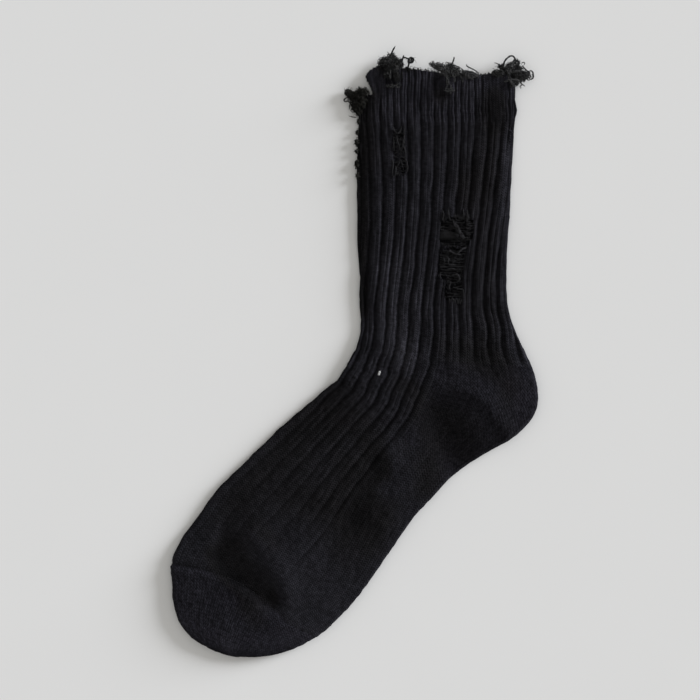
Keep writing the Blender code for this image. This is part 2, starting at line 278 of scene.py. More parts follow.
# rows of strokes: the route, the breadth, the change and, where it differs, the right breadth
CREASES = {
    Side.UPPER: table(
        Stroke,
        # toe: the foot sinks towards the toe seam, most at the seam's lower end, and the cap is puffed
        (((-70, -100), (-69.5, -107.5), (-63, -114.5), (-55.8, -119.8), (-50.2, -125), (-46.8, -129.8)),
         10, -3.1, 3.6),
        (((-52, -95), (-42, -107), (-36.5, -118), (-35, -128)), 6, 1.2),
        (((-92, -114), (-77, -116), (-66, -120), (-55, -127), (-48, -133)), 3.2, 0.7),
        (((-84, -126), (-54, -142)), 11, 0.5),
        # heel: a puffed rim that falls off into the sunken middle
        (((46, -19), (60, -21), (69.5, -25.5), (75, -34), (80, -42)), 5.6, 1.5, 4.4),
        (((43, -29), (44, -36), (46, -45), (50, -54)), 12.5, -3.6, 7),
        (((30, -26), (29, -46)), 5, 0.4),
        # sole: a long soft hollow along the arch and a low ridge beside it
        (((11, -58), (-1, -85)), 6.5, -1.1),
        (((30, -62), (16, -88)), 6, 0.6),
        (((-4, -86), (-14, -104)), 5, -0.5),
        (((-8, -112), (-22, -128)), 6, 0.4),
        # instep: the front of the foot falls away to the fold
        (((-16, -22), (-62, -65), (-86, -94)), 8, -1.3),
        # ankle: the cloth bends over the front and bunches a little
        (((6, 8), (26, 2)), 4, 0.5),
        (((2, -2), (20, -10)), 3.5, -0.5),
        (((12, -12), (34, -24)), 4, 0.35),
        (((40, 8), (52, -4)), 5, 0.5),
        (((50, 14), (70, 4)), 4, -0.4),
        # leg: the cloth falls away to the front fold, and sinks near the back fold and round the hole
        (((1.6, 138), (2, 76), (3.4, 14)), 5.4, -2.2),
        (((83, 116), (82, 92), (81, 66), (79.4, 46), (79.8, 26)), 4.6, -1.7),
        (((73.5, 96), (72.5, 60), (71, 24)), 3.8, -0.4),
        (((66, 20), (62, -2)), 6, -0.5),
        (((28, 66), (33, 22)), 6.5, 0.5),
        (((41, 62), (42, 30)), 2.6, 0.35),
        (((63.5, 60), (63.5, 34)), 2.6, 0.35),
        (((36, 128), (38, 84)), 4, -0.35),
        (((54, 120), (56, 78)), 4.5, 0.3),
        # band: the dent below the middle tuft, the curled front corner, and the narrowing where the band ends
        (((43.8, 142.5), (45.8, 134.5)), 3.4, -1.6),
        (((10, 144), (12.6, 136)), 1, -0.7),
        (((7.6, 143.5), (10.6, 136)), 1.3, 0.5),
        (((14, 121.5), (46, 122.5), (80, 121.5)), 1.6, -0.35),
    ),
    Side.LOWER: table(
        Stroke,
        (((18, 92), (30, 40)), 7, -0.35),
        (((60, 70), (56, 22)), 6, -0.4),
        (((10, 6), (44, -6)), 5, -0.5),
        (((0, -40), (34, -60)), 6, -0.4),
        (((-60, -96), (-40, -122)), 7, -0.5),
        (((54, -26), (66, -40)), 8, -0.5),
    ),
}
# painted shade and painted highlight, with tone: each stroke darkens or lightens the knit's colour; in
# hollows and on slopes that face away from the light it paints shade, and on edges that face the light it
# paints highlight
SHADE_AND_TONE = table(
    Stroke,
    # leg: painted shade along the front fold, which faces away from the light, darker down the back, painted
    # highlight on the back fold, which faces the light, and lighter on the lower shin
    (((3.2, 134), (3.6, 76), (4.4, 24)), 4.4, -0.55, 7),
    (((9, 136), (11, 100)), 6, -0.13),
    (((9, 135), (8, 130)), 4, -0.18),
    (((70, 132), (70, 88)), 7.5, -0.25),
    (((64, 92), (70, 10)), 12, -0.2),
    (((81.6, 112), (80, 70), (78.6, 30)), 2.8, 0.36),
    (((22, 46), (28, 6)), 12, 0.48),
    (((17, 43), (18, 30), (21.5, 4), (28, -3)), 7.5, 0.56),
    (((50, 66), (54, 30)), 7, -0.12),
    (((61, 56), (60.6, 44), (60, 30)), 3, 0.04),
    (((42, 6), (54, 0.5), (74, -5)), 8, -0.3),
    # band: lighter at the raw edge, darker below the front tuft, painted shade in the dent, darker at its
    # back
    (((22, 145), (80, 143.5)), 6.5, 0.6),
    (((24, 141), (25, 128)), 4.5, 0.32),
    (((57, 140), (58.5, 128)), 5, 0.24),
    (((74.5, 138), (74.5, 116)), 4.5, -0.24),
    (((17, 149), (22.6, 142.6)), 4.4, -0.6),
    (((43.4, 142), (45.4, 135)), 4.4, -0.5),
    (((73, 142), (74, 124)), 6, -0.3),
    # heel: painted shade in the hollow, and darker strips beside it
    (((50, -33), (57, -47)), 13.5, -0.42),
    (((76, -10), (80, -20)), 5, -0.16),
    (((58, -16), (66, -18)), 5, 0.08),
    (((83.6, 14), (86, 4)), 4, 0.34),
    (((90, -3), (92, -10)), 3.5, 0.45),
    (((62, -5), (72, -10)), 5, -0.15),
    (((57.5, 91), (57.5, 79)), 4, -0.26),
    (((49.4, 79), (49.4, 73)), 4, 0.2),
    (((32.6, 54), (32, 44)), 4.5, -0.18),
    (((24, 26), (24, 12)), 4, 0.14),
    (((46, -22), (54, -27)), 5, 0.16),
    (((60, 3), (74, -3), (84, -12)), 6, -0.14),
    (((80, -20), (80, -42)), 6, -0.16),
    (((25, -15), (33, -22), (39, -38), (41, -56), (38, -70)), 6.5, -0.34),
    # sole
    (((12, -64), (2, -86)), 12, -0.38),
    (((23, -50), (23, -66), (16, -70)), 6.5, 0.52),
    (((-2, -60), (-16, -80)), 11, -0.28),
    (((0, -86), (-8, -106)), 13, -0.22),
    (((17, -86), (9, -101)), 6, -0.24),
    (((-2, -48), (6.5, -60)), 5, 0.24),
    (((-36, -74), (-24, -76)), 7, -0.14),
    (((-36, -133), (-30, -137)), 5, 0.2),
    (((-12, -131), (-8, -136)), 4, 0.35),
    (((-94, -104), (-94, -114)), 4, 0.3),
    # instep
    (((-10, -28), (16, -60)), 15, -0.38),
    (((-30, -40), (-64, -76)), 16, -0.38),
    (((-24, -60), (-34, -82)), 9, -0.13),
    (((-38, -40), (-62, -66), (-72, -80)), 5, 0.18),
    # toe: painted shade in the hollow above the seam, and painted highlight on the rim that catches the light
    (((-64, -102), (-59.5, -109), (-53.5, -117), (-48.8, -123.5), (-46.8, -127.6)), 7.2, -0.38, 8.4),
    (((-72.5, -105), (-71.5, -109), (-69.5, -113), (-64.5, -118), (-59, -122.5), (-54, -127)),
     4.6, -0.36, 4.8),
    (((-68, -113), (-60, -118.5)), 4, -0.16),
    (((-74, -104), (-71.5, -111), (-61, -119.5)), 3.6, -0.26),
    (((-43, -127), (-40, -131)), 3.2, -0.4),
    (((-50, -90), (-42, -99)), 5, -0.22),
    (((-80, -128), (-50, -148)), 15, 0.2),
    (((-57, -133), (-51, -141)), 7, -0.42),
    (((-88, -139), (-77, -150), (-66, -154.5)), 6, 0.8),
    (((-46, -154), (-28, -149), (-17, -142)), 6, 0.52),
    (((-20, -112), (-32, -138)), 10, 0.26),
)
CALM = table(
    Stroke,
    # where the knit is pressed smooth: front corner, back of the band, back fold of the leg
    (((9, 147), (13, 136)), 4, -0.8),
    (((74, 147), (74.6, 125)), 6, -0.9),
    (((82, 103), (80.6, 90), (79.8, 72), (79.4, 58), (79.6, 44), (80.2, 30)), 3, -0.85),
    (((44.4, 143), (45.6, 134)), 4, -0.7),
)


CROWN_POWER = 1.2  # how much sooner than a sine the upper panel falls from its crown
LEAST_CLOSING = 0.02  # least size of a ring at the toe's end, as a share
LEAST_WIDTH = 2.001  # least width of a ring, counted in radii of its folds


@dataclass(frozen=True)
class Ring:
    """One ring of the pressed tube, in metres, with where its grooves and ribs lie."""

    place: float
    front: Vector
    back: Vector
    edge: float
    crown: float
    crown_at: float
    first: float
    pitch: float
    gather: float
    paced: float
    squash: float = 1.0

    @property
    def radius(self) -> float:
        """Radius of the two folds."""
        return self.edge / 2.0

    @property
    def width(self) -> float:
        """Distance between the two folds."""
        return (self.back - self.front).length

    @property
    def flat(self) -> float:
        """Length of the flat stretch between the two folds."""
        return self.width - 2.0 * self.radius

    @property
    def around(self) -> float:
        """Length all round the ring."""
        return 2.0 * self.flat + 2.0 * math.pi * self.radius

    def run(self, wale: float) -> float:
        """How far round the ring a wale lies from the front fold, over the upper panel first.

        Args:
            wale: Rib count, from 1 to 1 + RIBS.

        Returns:
            The run, in metres.
        """
        start = self.first + (math.pi / 2.0 - 1.0) * self.radius
        counted = min(wale, self.paced) - 1.0
        paced = self.paced - 1.0
        run = start + counted * self.pitch + self.gather * math.sin(math.pi * counted / paced)
        if wale > self.paced:
            rest = self.around - paced * self.pitch
            run += rest * (wale - self.paced) / (RIBS - paced)
        return run % self.around

    def point(self, run: float) -> tuple[Vector, Vector]:
        """Point of the form and its outward direction at a run round the ring.

        Args:
            run: Length round the ring from the front fold.

        Returns:
            The point, and the outward direction as a unit vector.
        """
        radius, flat = self.radius, self.flat
        quarter = math.pi * radius / 2.0
        ahead = (self.back - self.front).normalized()
        over, under = quarter + flat, 3.0 * quarter + flat
        if quarter <= run < over:
            share = (run - quarter) / flat
            skew = math.log(0.5) / math.log(self.crown_at)
            rise = max(math.sin(math.pi * share ** skew), 0.0) ** CROWN_POWER
            across, height = radius + flat * share, self.edge + (self.crown - self.edge) * rise
            out = UP.copy()
        elif under <= run < under + flat:
            across, height, out = radius + flat - (run - under), 0.0, -UP
        else:
            # round a fold, at an angle from straight ahead
            if run < quarter:
                middle, angle = radius, math.pi - run / radius
            elif run < under:
                middle, angle = radius + flat, math.pi / 2.0 - (run - over) / radius
            else:
                middle, angle = radius, -math.pi / 2.0 - (run - under - flat) / radius
            across, height = middle + radius * math.cos(angle), radius + radius * math.sin(angle)
            out = ahead * math.cos(angle) + UP * math.sin(angle)
        share = across / self.width
        height = radius + (height - radius) * self.squash
        spot = self.front.lerp(self.back, share)
        spot += Vector((-ahead.y, ahead.x, 0.0)) * self.seam_bow(share)
        spot.y += self.edge_shift(share)
        spot.z = height
        return spot, out

    def seam_bow(self, share: float) -> float:
        """How far the rings near the toe seam bow up the foot at a share of the width.

        Args:
            share: Share of the width, from the front fold.

        Returns:
            The length, in metres.
        """
        swell = share / SEAM_BOW_END
        if not 0.0 < swell < 1.0:
            return 0.0
        stations = (self.place - STATION["toe seam"]) / SEAM_BOW_REACH
        return SEAM_BOW * math.sin(math.pi * swell) * math.exp(-stations * stations)

    def edge_shift(self, share: float) -> float:
        """How far the raw edge waves up or down the leg at a share of the width."""
        fade = max(0.0, 1.0 - self.place / STATION["band end"])
        return fade * along(RAW_EDGE_LIFTS, share * (len(RAW_EDGE_LIFTS) - 1)) * MM


@dataclass(frozen=True)
class KnitRelief:
    """Depths of the ribs and wales in millimetres, and shares of a rib's pitch that shape them."""

    rib: float = 1.35
    rib_flank: float = 0.30
    rib_round: float = 0.34
    split: float = 0.30
    split_breadth: float = 0.075
    fine: float = 0.85
    fine_flank: float = 0.30
    fine_round: float = 0.50
    fine_split: float = 0.42
    seam: float = 0.85
    seam_breadth: float = 0.10
    seam_shade: float = 0.9
    fine_slit: float = 0.13
    fine_unevenness: float = 0.9
    plain_wale: float = 0.10
    plain_slit: float = 0.2
    wales_in_rib: int = 4
    pressed: float = 0.75
    unevenness: float = 0.20
    crest_drop: float = 0.30
    lateral: float = 0.42

    @staticmethod
    def groove(count: float, flank: float, roundness: float) -> float:
        """Depth share of a groove at every whole number of a count.

        Args:
            count: Place across the ribs, counted in ribs.
            flank: Share of the pitch over which a rib's side falls.
            roundness: Share of the depth that comes from the crest's own curve.

        Returns:
            0 on the crest, 1 in the groove.
        """
        off = abs(count - round(count))
        side = 1.0 - smooth_step(0.0, flank, off)
        return (1.0 - roundness) * side + roundness * (1.0 - math.sin(math.pi * off))

    @staticmethod
    def slit(count: float, breadth: float) -> float:
        """Depth share of the narrow slit at every half of a count, 1 in its middle."""
        off = (0.5 - abs(count - round(count))) / breadth
        return math.exp(-off * off)

    def front_share(self, wale: float) -> float:
        """How much a wale belongs to the front of the sock, 1 over the shin and instep and 0 at the back."""
        turned, front = (wale - FRONT_LOW) % RIBS, FRONT_HIGH - FRONT_LOW
        return smooth_step(-0.4, 0.5, turned) * (1.0 - smooth_step(front - 0.6, front + 0.3, turned))

    def amounts(self, place: float, wale: float) -> tuple[float, float]:
        """How strong the wide ribs and the fine ribs are at a place and wale, each from 0 to 1.

        Args:
            place: Place along the section table.
            wale: Rib count round the tube.

        Returns:
            The two strengths.
        """
        at = min(place, LAST_PLACE)
        front = self.front_share(wale)
        wide = front * along(TRACKS["front_rib"], at) + (1.0 - front) * along(TRACKS["back_rib"], at)
        return max(wide, 0.0), min(max(along(TRACKS["fine_rib"], at), 0.0), 1.0)

    def depth(self, place: float, wale: float) -> tuple[float, float]:
        """Depth of the knit below its crests, in millimetres, and how deep that is in a groove, from 0 to 1.

        Args:
            place: Place along the section table.
            wale: Rib count round the tube.

        Returns:
            The depth and the groove share, both 0 on a full crest.
        """
        wide, fine = self.amounts(place, wale)
        front = self.front_share(wale)
        plain = max(0.0, 1.0 - wide - fine)
        own = noise.noise(Vector((math.floor(wale) * 1.7, place * 0.35, 3.1)))
        split = self.split * min(max(0.75 + 1.5 * own, 0.0), 1.4)
        groove = self.groove(wale, self.rib_flank, self.rib_round)
        fine_count = wale * FINE_RIBS / RIBS
        fine_groove = self.groove(fine_count, self.fine_flank, self.fine_round)
        side = noise.noise(Vector((math.floor(fine_count) * 2.3, place * 0.8, 8.2)))
        drop = self.crest_drop * (wide * (1.0 - groove) * own + 0.6 * fine * (1.0 - fine_groove) * side)
        depth = (
            wide * (self.rib * groove + split * self.slit(wale, self.split_breadth))
            + fine * self.fine * fine_groove * (1.0 + self.fine_unevenness * side)
            + fine * self.fine_split * self.slit(fine_count, self.fine_slit)
            + plain * self.plain_wale * self.slit(self.wales_in_rib * wale + 0.5, self.plain_slit)
        )
        seam = (0.15 + 0.85 * front) * math.exp(-(((place - STATION["toe seam"]) / self.seam_breadth) ** 2))
        depth += self.seam * seam
        return depth + drop, min(wide * groove + 0.7 * fine * fine_groove + self.seam_shade * seam, 1.0)


@dataclass
class SockForm:
    """The form of the whole sock: where the cloth lies for every place and wale."""

    relief: KnitRelief = field(default_factory=KnitRelief)
    columns_on_top: int = 22
    columns_below: int = 8
    row_length: float = 1.5 * MM
    fan_row_length: float = 1.8 * MM
    cap_rows: int = 5
    full_ring: float = 110.0 * MM

    def ring(self, place: float) -> Ring:
        """Ring at a place, also past the last station, where the toe closes.

        Args:
            place: Place along the section table, up to LAST_PLACE + TOE_CAP.

        Returns:
            The ring, in metres.
        """
        at = min(place, LAST_PLACE)
        size = {name: along(track, at) for name, track in TRACKS.items()}
        front = Vector((size["front_x"], size["front_y"], 0.0)) * MM
        back = Vector((size["back_x"], size["back_y"], 0.0)) * MM
        turn = min(max(place - LAST_PLACE, 0.0) / TOE_CAP, 1.0) * math.pi / 2.0
        shrink = math.cos(turn)
        middle = (front + back) / 2.0
        ahead = (back - front).normalized()
        outward = Vector((ahead.y, -ahead.x, 0.0)) * CAP_REACH * math.sin(turn)
        radius = size["edge"] * MM / 2.0
        closing = max(shrink, LEAST_CLOSING)
        front = middle + (front - middle) * closing + outward
        back = middle + (back - middle) * closing + outward
        radius = min(radius, (back - front).length / LEAST_WIDTH)
        return Ring(
            place=place, front=front, back=back, edge=2.0 * radius,
            crown=2.0 * radius + (size["crown"] - size["edge"]) * MM, crown_at=size["crown_at"],
            first=size["first"] * MM * closing, pitch=size["pitch"] * MM * closing,
            gather=size["gather"] * MM, paced=size["paced"], squash=shrink,
        )

    def surface(self, ring: Ring, wale: float) -> tuple[Vector, float, float]:
        """Point of the cloth's outer face.

        Args:
            ring: The ring that the point is on.
            wale: Rib count of the point.

        Returns:
            The point, how deep it lies in a groove from 0 to 1, and the outward direction's height.
        """
        relief = self.relief
        counted = (wale - 1.0) % RIBS + 1.0
        turned = counted * math.tau / RIBS
        seed = Vector((2.6 * math.cos(turned), 2.6 * math.sin(turned), 0.9 * ring.place))
        wander = noise.noise(seed * 1.4)
        drift = noise.noise(seed * 4.0 + Vector((7.0, 0.0, 0.0)))
        closing = min(1.0, ring.around / self.full_ring)
        run = ring.run(counted) + (wander + 0.5 * drift) * relief.lateral * MM * closing
        spot, out = ring.point(run % ring.around)
        depth, groove = relief.depth(ring.place, counted)
        calm = max(1.0 + marked(CALM, spot), 0.0)
        groove *= calm
        lift = -depth * calm + relief.unevenness * drift * 2.0
        side = Side.UPPER if out.z > 0.0 else Side.LOWER
        facing = abs(out.z)
        if side is Side.LOWER:
            lift *= 1.0 - (1.0 - relief.pressed) * facing
        lift += facing * marked(CREASES[side], spot)
        if side is Side.LOWER:
            lift = min(lift, 0.0)
        return spot + out * lift * MM * closing, groove, out.z

    def rows(self, first: float, last: float) -> list[float]:
        """Places of the grid's rows between two places, closer where the sock is measured longer.

        Args:
            first: First place.
            last: Last place.

        Returns:
            The places, both ends included.
        """
        places = [first]
        station = first
        while station < last - 1e-6:
            stop = min(math.floor(station + 1e-6) + 1.0, last)
            fan = STATION["heel top"] <= station < STATION["heel end"]
            share, longest = (1.0, self.fan_row_length) if fan else (0.5, self.row_length)
            middle = min((station + stop) / 2.0, LAST_PLACE - 0.1)
            low, high = self.ring(middle - 0.05), self.ring(middle + 0.05)
            length = (low.front.lerp(low.back, share) - high.front.lerp(high.back, share)).length / 0.1
            steps = max(2, math.ceil(length * (stop - station) / longest))
            if station >= LAST_PLACE:
                steps = self.cap_rows
            places += [station + (stop - station) * step / steps for step in range(1, steps + 1)]
            station = stop
        return places

    def wales(self) -> list[float]:
        """Wales of the grid's columns, closer on the upper panel, the first repeated at the end.

        Returns:
            The wales, in order.
        """
        stretches = (
            (FIRST_WALE, UPPER_START, self.columns_below),
            (UPPER_START, UPPER_END, self.columns_on_top),
            (UPPER_END, FIRST_WALE + RIBS, self.columns_below),
        )
        wales = [FIRST_WALE]
        for start, stop, density in stretches:
            steps = round((stop - start) * density)
            wales += [start + (stop - start) * step / steps for step in range(1, steps + 1)]
        return wales


# ---- openings

@dataclass(frozen=True)
class Opening:
    """One hole in the upper panel, between two wales and two heights up the leg, in millimetres.

    Its sides follow the wales and its ends are ragged, because knit comes undone along its wales.
    """

    name: str
    first_wale: float
    last_wale: float
    low: float
    high: float
    ragged: float

    def holds(self, wale: float, y: float) -> bool:
        """Whether a point is inside the hole.

        Args:
            wale: Rib count of the point, from 1 to 1 + RIBS.
            y: Height up the leg, in millimetres.

        Returns:
            True inside the hole.
        """
        middle = (self.first_wale + self.last_wale) / 2.0
        across = (wale - middle) / (self.last_wale - middle)
        tooth = noise.noise(Vector((math.floor(wale * 3.0) * 0.73, self.low * 0.11, 0.5)))
        up = (y - (self.low + self.high) / 2.0 + tooth * self.ragged) / ((self.high - self.low) / 2.0)
        return abs(across) ** 3.0 + abs(up) ** 3.0 < 1.0


OPENINGS = (
    Opening("ladder_top", 6.75, 9.62, 55.4, 71.4, 3.0),
    Opening("ladder_middle", 6.95, 9.12, 38.6, 55.4, 2.4),
    Opening("ladder_foot", 7.7, 9.12, 26.6, 40.2, 2.4),
    Opening("tear_top", 3.18, 3.78, 105.0, 115.6, 1.6),
    Opening("tear_low", 3.30, 3.82, 93.6, 103.4, 1.6),
)

NOTCH_OUTLINE = (
    (-12.0, 160.0), (15.5, 160.0), (14.8, 150.6), (11.5, 149.4), (8.6, 147.9), (6.9, 146.2), (6.4, 144.2),
    (7.4, 141.8), (10.6, 134.7), (-12.0, 134.7),
)


def inside_outline(outline: Sequence[tuple[float, float]], x: float, y: float) -> bool:
    """Whether a point is inside a closed outline.

    Args:
        outline: Its corners in order.
        x: The point's place along X.
        y: Its place along Y.

    Returns:
        True inside it.
    """
    inside = False
    for (x1, y1), (x2, y2) in zip(outline, outline[1:] + outline[:1]):
        if (y1 > y) != (y2 > y) and x < x1 + (y - y1) * (x2 - x1) / (y2 - y1):
            inside = not inside
    return inside


# ---- finishes

def new_group(name: str, inputs: dict[str, float | None], outputs: Sequence[str]) -> "tuple[Node, Wiring]":
    """New shader node group that puts out numbers.

    Args:
        name: Name of the group.
        inputs: Default of each input by its name, or None for a vector.
        outputs: Names of the outputs.

    Returns:
        The group's input node, and the wiring of its tree.
    """
    tree = bpy.data.node_groups.new(name, "ShaderNodeTree")
    for label, value in inputs.items():
        kind = "NodeSocketVector" if value is None else "NodeSocketFloat"
        socket = tree.interface.new_socket(label, in_out="INPUT", socket_type=kind)
        if value is not None:
            socket.default_value = value
    for label in outputs:
        tree.interface.new_socket(label, in_out="OUTPUT", socket_type="NodeSocketFloat")
    wiring = Wiring(tree)
    return wiring.add("NodeGroupInput"), wiring


def new_material(name: str) -> "tuple[bpy.types.Material, Node, Wiring]":
    """New material with a Principled shader.

    Args:
        name: Name of the material.

    Returns:
        The material, its shader and its wiring.
    """
    material = bpy.data.materials.new(name)
    material.use_nodes = True
    return material, material.node_tree.nodes["Principled BSDF"], Wiring(material.node_tree)


class Wiring:
    """Adds and links nodes in one tree."""

    def __init__(self, tree: bpy.types.NodeTree) -> None:
        """Keep the tree that nodes go into."""
        self.tree = tree

    def add(self, kind: str, inputs: dict[str, object] | None = None, **settings: object) -> Node:
        """Add a node.

        Args:
            kind: Blender's name of the node.
            inputs: Socket or value for each input's name.
            settings: Value of each of the node's properties.

        Returns:
            The node.
        """
        node = self.tree.nodes.new(kind)
        for name, value in settings.items():
            setattr(node, name, value)
        self.feed(node, inputs or {})
        return node

    def feed(self, node: Node, inputs: dict[str | int, object]) -> None:
        """Link or set inputs of a node, each by its name or number.

        Args:
            node: The node.
            inputs: Socket or value for each input.
        """
        for name, value in inputs.items():
            if isinstance(value, Socket):
                self.tree.links.new(value, node.inputs[name])
            else:
                node.inputs[name].default_value = value

    def math(self, operation: str, *values: object, clamp: bool = False) -> Socket:
        """Add a math node.

        Args:
            operation: Blender's name of the operation.
            values: Sockets or numbers, in order.
            clamp: Whether the result is kept from 0 to 1.

        Returns:
            The node's output socket.
        """
        inputs = dict(enumerate(values))
        return self.add("ShaderNodeMath", inputs, operation=operation, use_clamp=clamp).outputs[0]

    def product(self, *values: object) -> Socket:
        """Multiply sockets and numbers in order.

        Args:
            values: The factors.

        Returns:
            Socket of the result.
        """
        result = values[0]
        for value in values[1:]:
            result = self.math("MULTIPLY", result, value)
        return result

    def noise(self, vector: Socket, scale: float, detail: float = 2.0) -> Socket:
        """Add a noise texture and give its value."""
        inputs = {"Scale": scale, "Detail": detail, "Vector": vector}
        return self.add("ShaderNodeTexNoise", inputs).outputs["Fac"]

    def spread(self, value: Socket, low: float, high: float, start: float, end: float) -> Socket:
        """Map a value from low..high to start..end, clamped."""
        inputs = {"Value": value, "From Min": low, "From Max": high, "To Min": start, "To Max": end}
        return self.add("ShaderNodeMapRange", inputs).outputs["Result"]

    def attribute(self, name: str) -> Socket:
        """Read a number that the mesh stores for each point."""
        return self.add("ShaderNodeAttribute", attribute_name=name).outputs["Fac"]

    def mix(self, share: object, first: object, second: object, blend: str = "MIX") -> Socket:
        """Blend two colours, each a socket or its three parts, by a share.

        Args:
            share: Share of the second colour.
            first: First colour.
            second: Second colour.
            blend: Blender's name of the way to blend.

        Returns:
            Socket of the colour.
        """
        inputs = {"Factor": share}
        for label, colour in (("A", first), ("B", second)):
            inputs[label] = (*colour, 1.0) if isinstance(colour, tuple) else colour
        return self.add("ShaderNodeMix", inputs, data_type="RGBA", blend_type=blend).outputs["Result"]

    def bump(self, height: Socket, distance: float, **under: Socket) -> Socket:
        """Normal of a bumped surface, laid over a Normal where one is given."""
        return self.add("ShaderNodeBump", {"Distance": distance, "Height": height, **under}).outputs["Normal"]

    def grain(self) -> Node:
        """Add the grain of fuzzy cotton, laid on object coordinates."""
        place = self.add("ShaderNodeTexCoord").outputs["Object"]
        return self.add("ShaderNodeGroup", {"Vector": place}, node_tree=cloth_grain())

    def close(self, **results: Socket) -> bpy.types.NodeTree:
        """Give a group its outputs, and return its tree."""
        self.add("NodeGroupOutput", results)
        return self.tree


@cache
def stitch_pattern() -> bpy.types.NodeTree:
    """Node group of knitted V stitches, read from a map that counts wales and courses.

    Returns:
        The group's tree.
    """
    source, wiring = new_group("stitch_pattern", {"Stitches": None, "Slant": 0.75}, ("Height", "Gap"))
    split = wiring.add("ShaderNodeSeparateXYZ", {"Vector": source.outputs["Stitches"]})
    across = wiring.math("MULTIPLY_ADD", wiring.math("FRACT", split.outputs["X"]), 2.0, -1.0)
    leg = wiring.math("ABSOLUTE", across)
    slanted = wiring.product(leg, source.outputs["Slant"])
    course = wiring.math("FRACT", wiring.math("ADD", split.outputs["Y"], slanted))
    hump = wiring.math("SINE", wiring.product(course, math.pi))
    limb = wiring.product(leg, wiring.math("SUBTRACT", 1.0, leg), 4.0)
    limb = wiring.math("POWER", wiring.math("MAXIMUM", limb, 0.0001), 0.5)
    limb = wiring.math("MULTIPLY_ADD", limb, 0.6, 0.4)
    height = wiring.product(wiring.math("POWER", hump, 0.7), limb)
    gap = wiring.math("SUBTRACT", 1.0, wiring.math("MULTIPLY", height, 1.4, clamp=True), clamp=True)
    return wiring.close(Height=height, Gap=gap)


@cache
def cloth_grain() -> bpy.types.NodeTree:
    """Node group of fuzzy cotton: soft mottling, small specks of lighter fibre and a fibrous grain.

    Returns:
        The group's tree.
    """
    source, wiring = new_group("cloth_grain", {"Vector": None}, ("Mottle", "Specks", "Height"))
    vector = source.outputs["Vector"]
    close = wiring.noise(vector, 420.0, 3.0)
    mottle = wiring.math("MULTIPLY_ADD", wiring.noise(vector, 55.0), 0.55, wiring.product(close, 0.45))
    height = wiring.math("MULTIPLY_ADD", wiring.noise(vector, 2600.0), 0.7, wiring.product(close, 0.5))
    specks = wiring.spread(wiring.noise(vector, 1500.0, 1.0), 0.62, 0.74, 0.0, 1.0)
    return wiring.close(Mottle=wiring.spread(mottle, 0.35, 0.65, 0.0, 1.0), Specks=specks, Height=height)


@dataclass(frozen=True)
class KnitFinish:
    """Finish of a knitted shell: its yarn's colours, the painted shade in its grooves and low-toned patches,
    and how deep its stitches are.
    """

    name: str
    dark: Colour
    light: Colour
    stitch_depth: float = 0.34 * MM
    grain_depth: float = 0.10 * MM
    groove_shade: float = 0.45
    groove_power: float = 2.5
    gap_shade: float = 0.5
    streaks: float = 0.42
    streak_length: float = 0.10
    streak_breadth: float = 1.7
    speckle: float = 0.30
    specular: float = 0.03
    sheen: float = 0.02
    sheen_roughness: float = 0.6
    sheen_tint: Colour = (0.75, 0.73, 0.85)
    # painted shade: warmer colour laid on low-toned, shaded patches
    shade_warmth: Colour = (1.04, 1.0, 0.87)

    def material(self) -> bpy.types.Material:
        """Material of this finish, read from the shell's stitch map and attributes.

        Returns:
            The material.
        """
        material, shader, wiring = new_material(self.name)
        stitches = wiring.add("ShaderNodeUVMap", uv_map="stitches").outputs["UV"]
        pattern = wiring.add("ShaderNodeGroup", node_tree=stitch_pattern())
        wiring.feed(pattern, {"Stitches": stitches})
        grain = wiring.grain().outputs
        groove, tone, ribbing = (wiring.attribute(name) for name in ("groove", "tone", "ribbing"))
        # the yarn's own colour, mottled and specked
        specks = wiring.product(grain["Specks"], 0.55)
        share = wiring.math("MULTIPLY_ADD", grain["Mottle"], 0.75, specks, clamp=True)
        colour = wiring.mix(share, self.dark, self.light)
        # shade in the grooves and between the stitches
        sunk = wiring.math("POWER", groove, self.groove_power)
        shade = wiring.math("SUBTRACT", 1.0, wiring.product(sunk, self.groove_shade))
        gaps = wiring.math("SUBTRACT", 1.0, wiring.product(pattern.outputs["Gap"], self.gap_shade))
        # streaks along the wales, strongest on the ribs, and speckle from stitch to stitch
        scale = (self.streak_breadth, self.streak_length, 1.0)
        stretched = wiring.add("ShaderNodeMapping", {"Scale": scale, "Vector": stitches}).outputs["Vector"]
        streaks = wiring.spread(wiring.noise(stretched, 1.0, 3.0), 0.32, 0.68, -self.streaks, self.streaks)
        streaks = wiring.math("MULTIPLY_ADD", streaks, ribbing, 1.0)
        spots = wiring.noise(stitches, 0.9, 1.0)
        speckle = wiring.spread(spots, 0.3, 0.7, 1.0 - self.speckle, 1.0 + self.speckle)
        shade = wiring.product(shade, gaps, wiring.product(tone, streaks, speckle))
        grey = wiring.add("ShaderNodeCombineColor", {0: shade, 1: shade, 2: shade}).outputs["Color"]
        colour = wiring.mix(1.0, colour, grey, "MULTIPLY")
        # painted shade: where the tone is low the colour is warmed, as cloth in shade looks warmer
        shaded_share = wiring.spread(tone, 0.55, 0.98, 1.0, 0.0)
        normal = wiring.bump(pattern.outputs["Height"], self.stitch_depth)
        wiring.feed(shader, {
            "Base Color": wiring.mix(shaded_share, colour, self.shade_warmth, "MULTIPLY"),
            "Normal": wiring.bump(grain["Height"], self.grain_depth, Normal=normal),
            "Roughness": wiring.spread(grain["Mottle"], 0.0, 1.0, 1.0, 0.88),
            "Specular IOR Level": self.specular,
            "Sheen Weight": self.sheen,
            "Sheen Roughness": self.sheen_roughness,
            "Sheen Tint": (*self.sheen_tint, 1.0),
        })
        return material


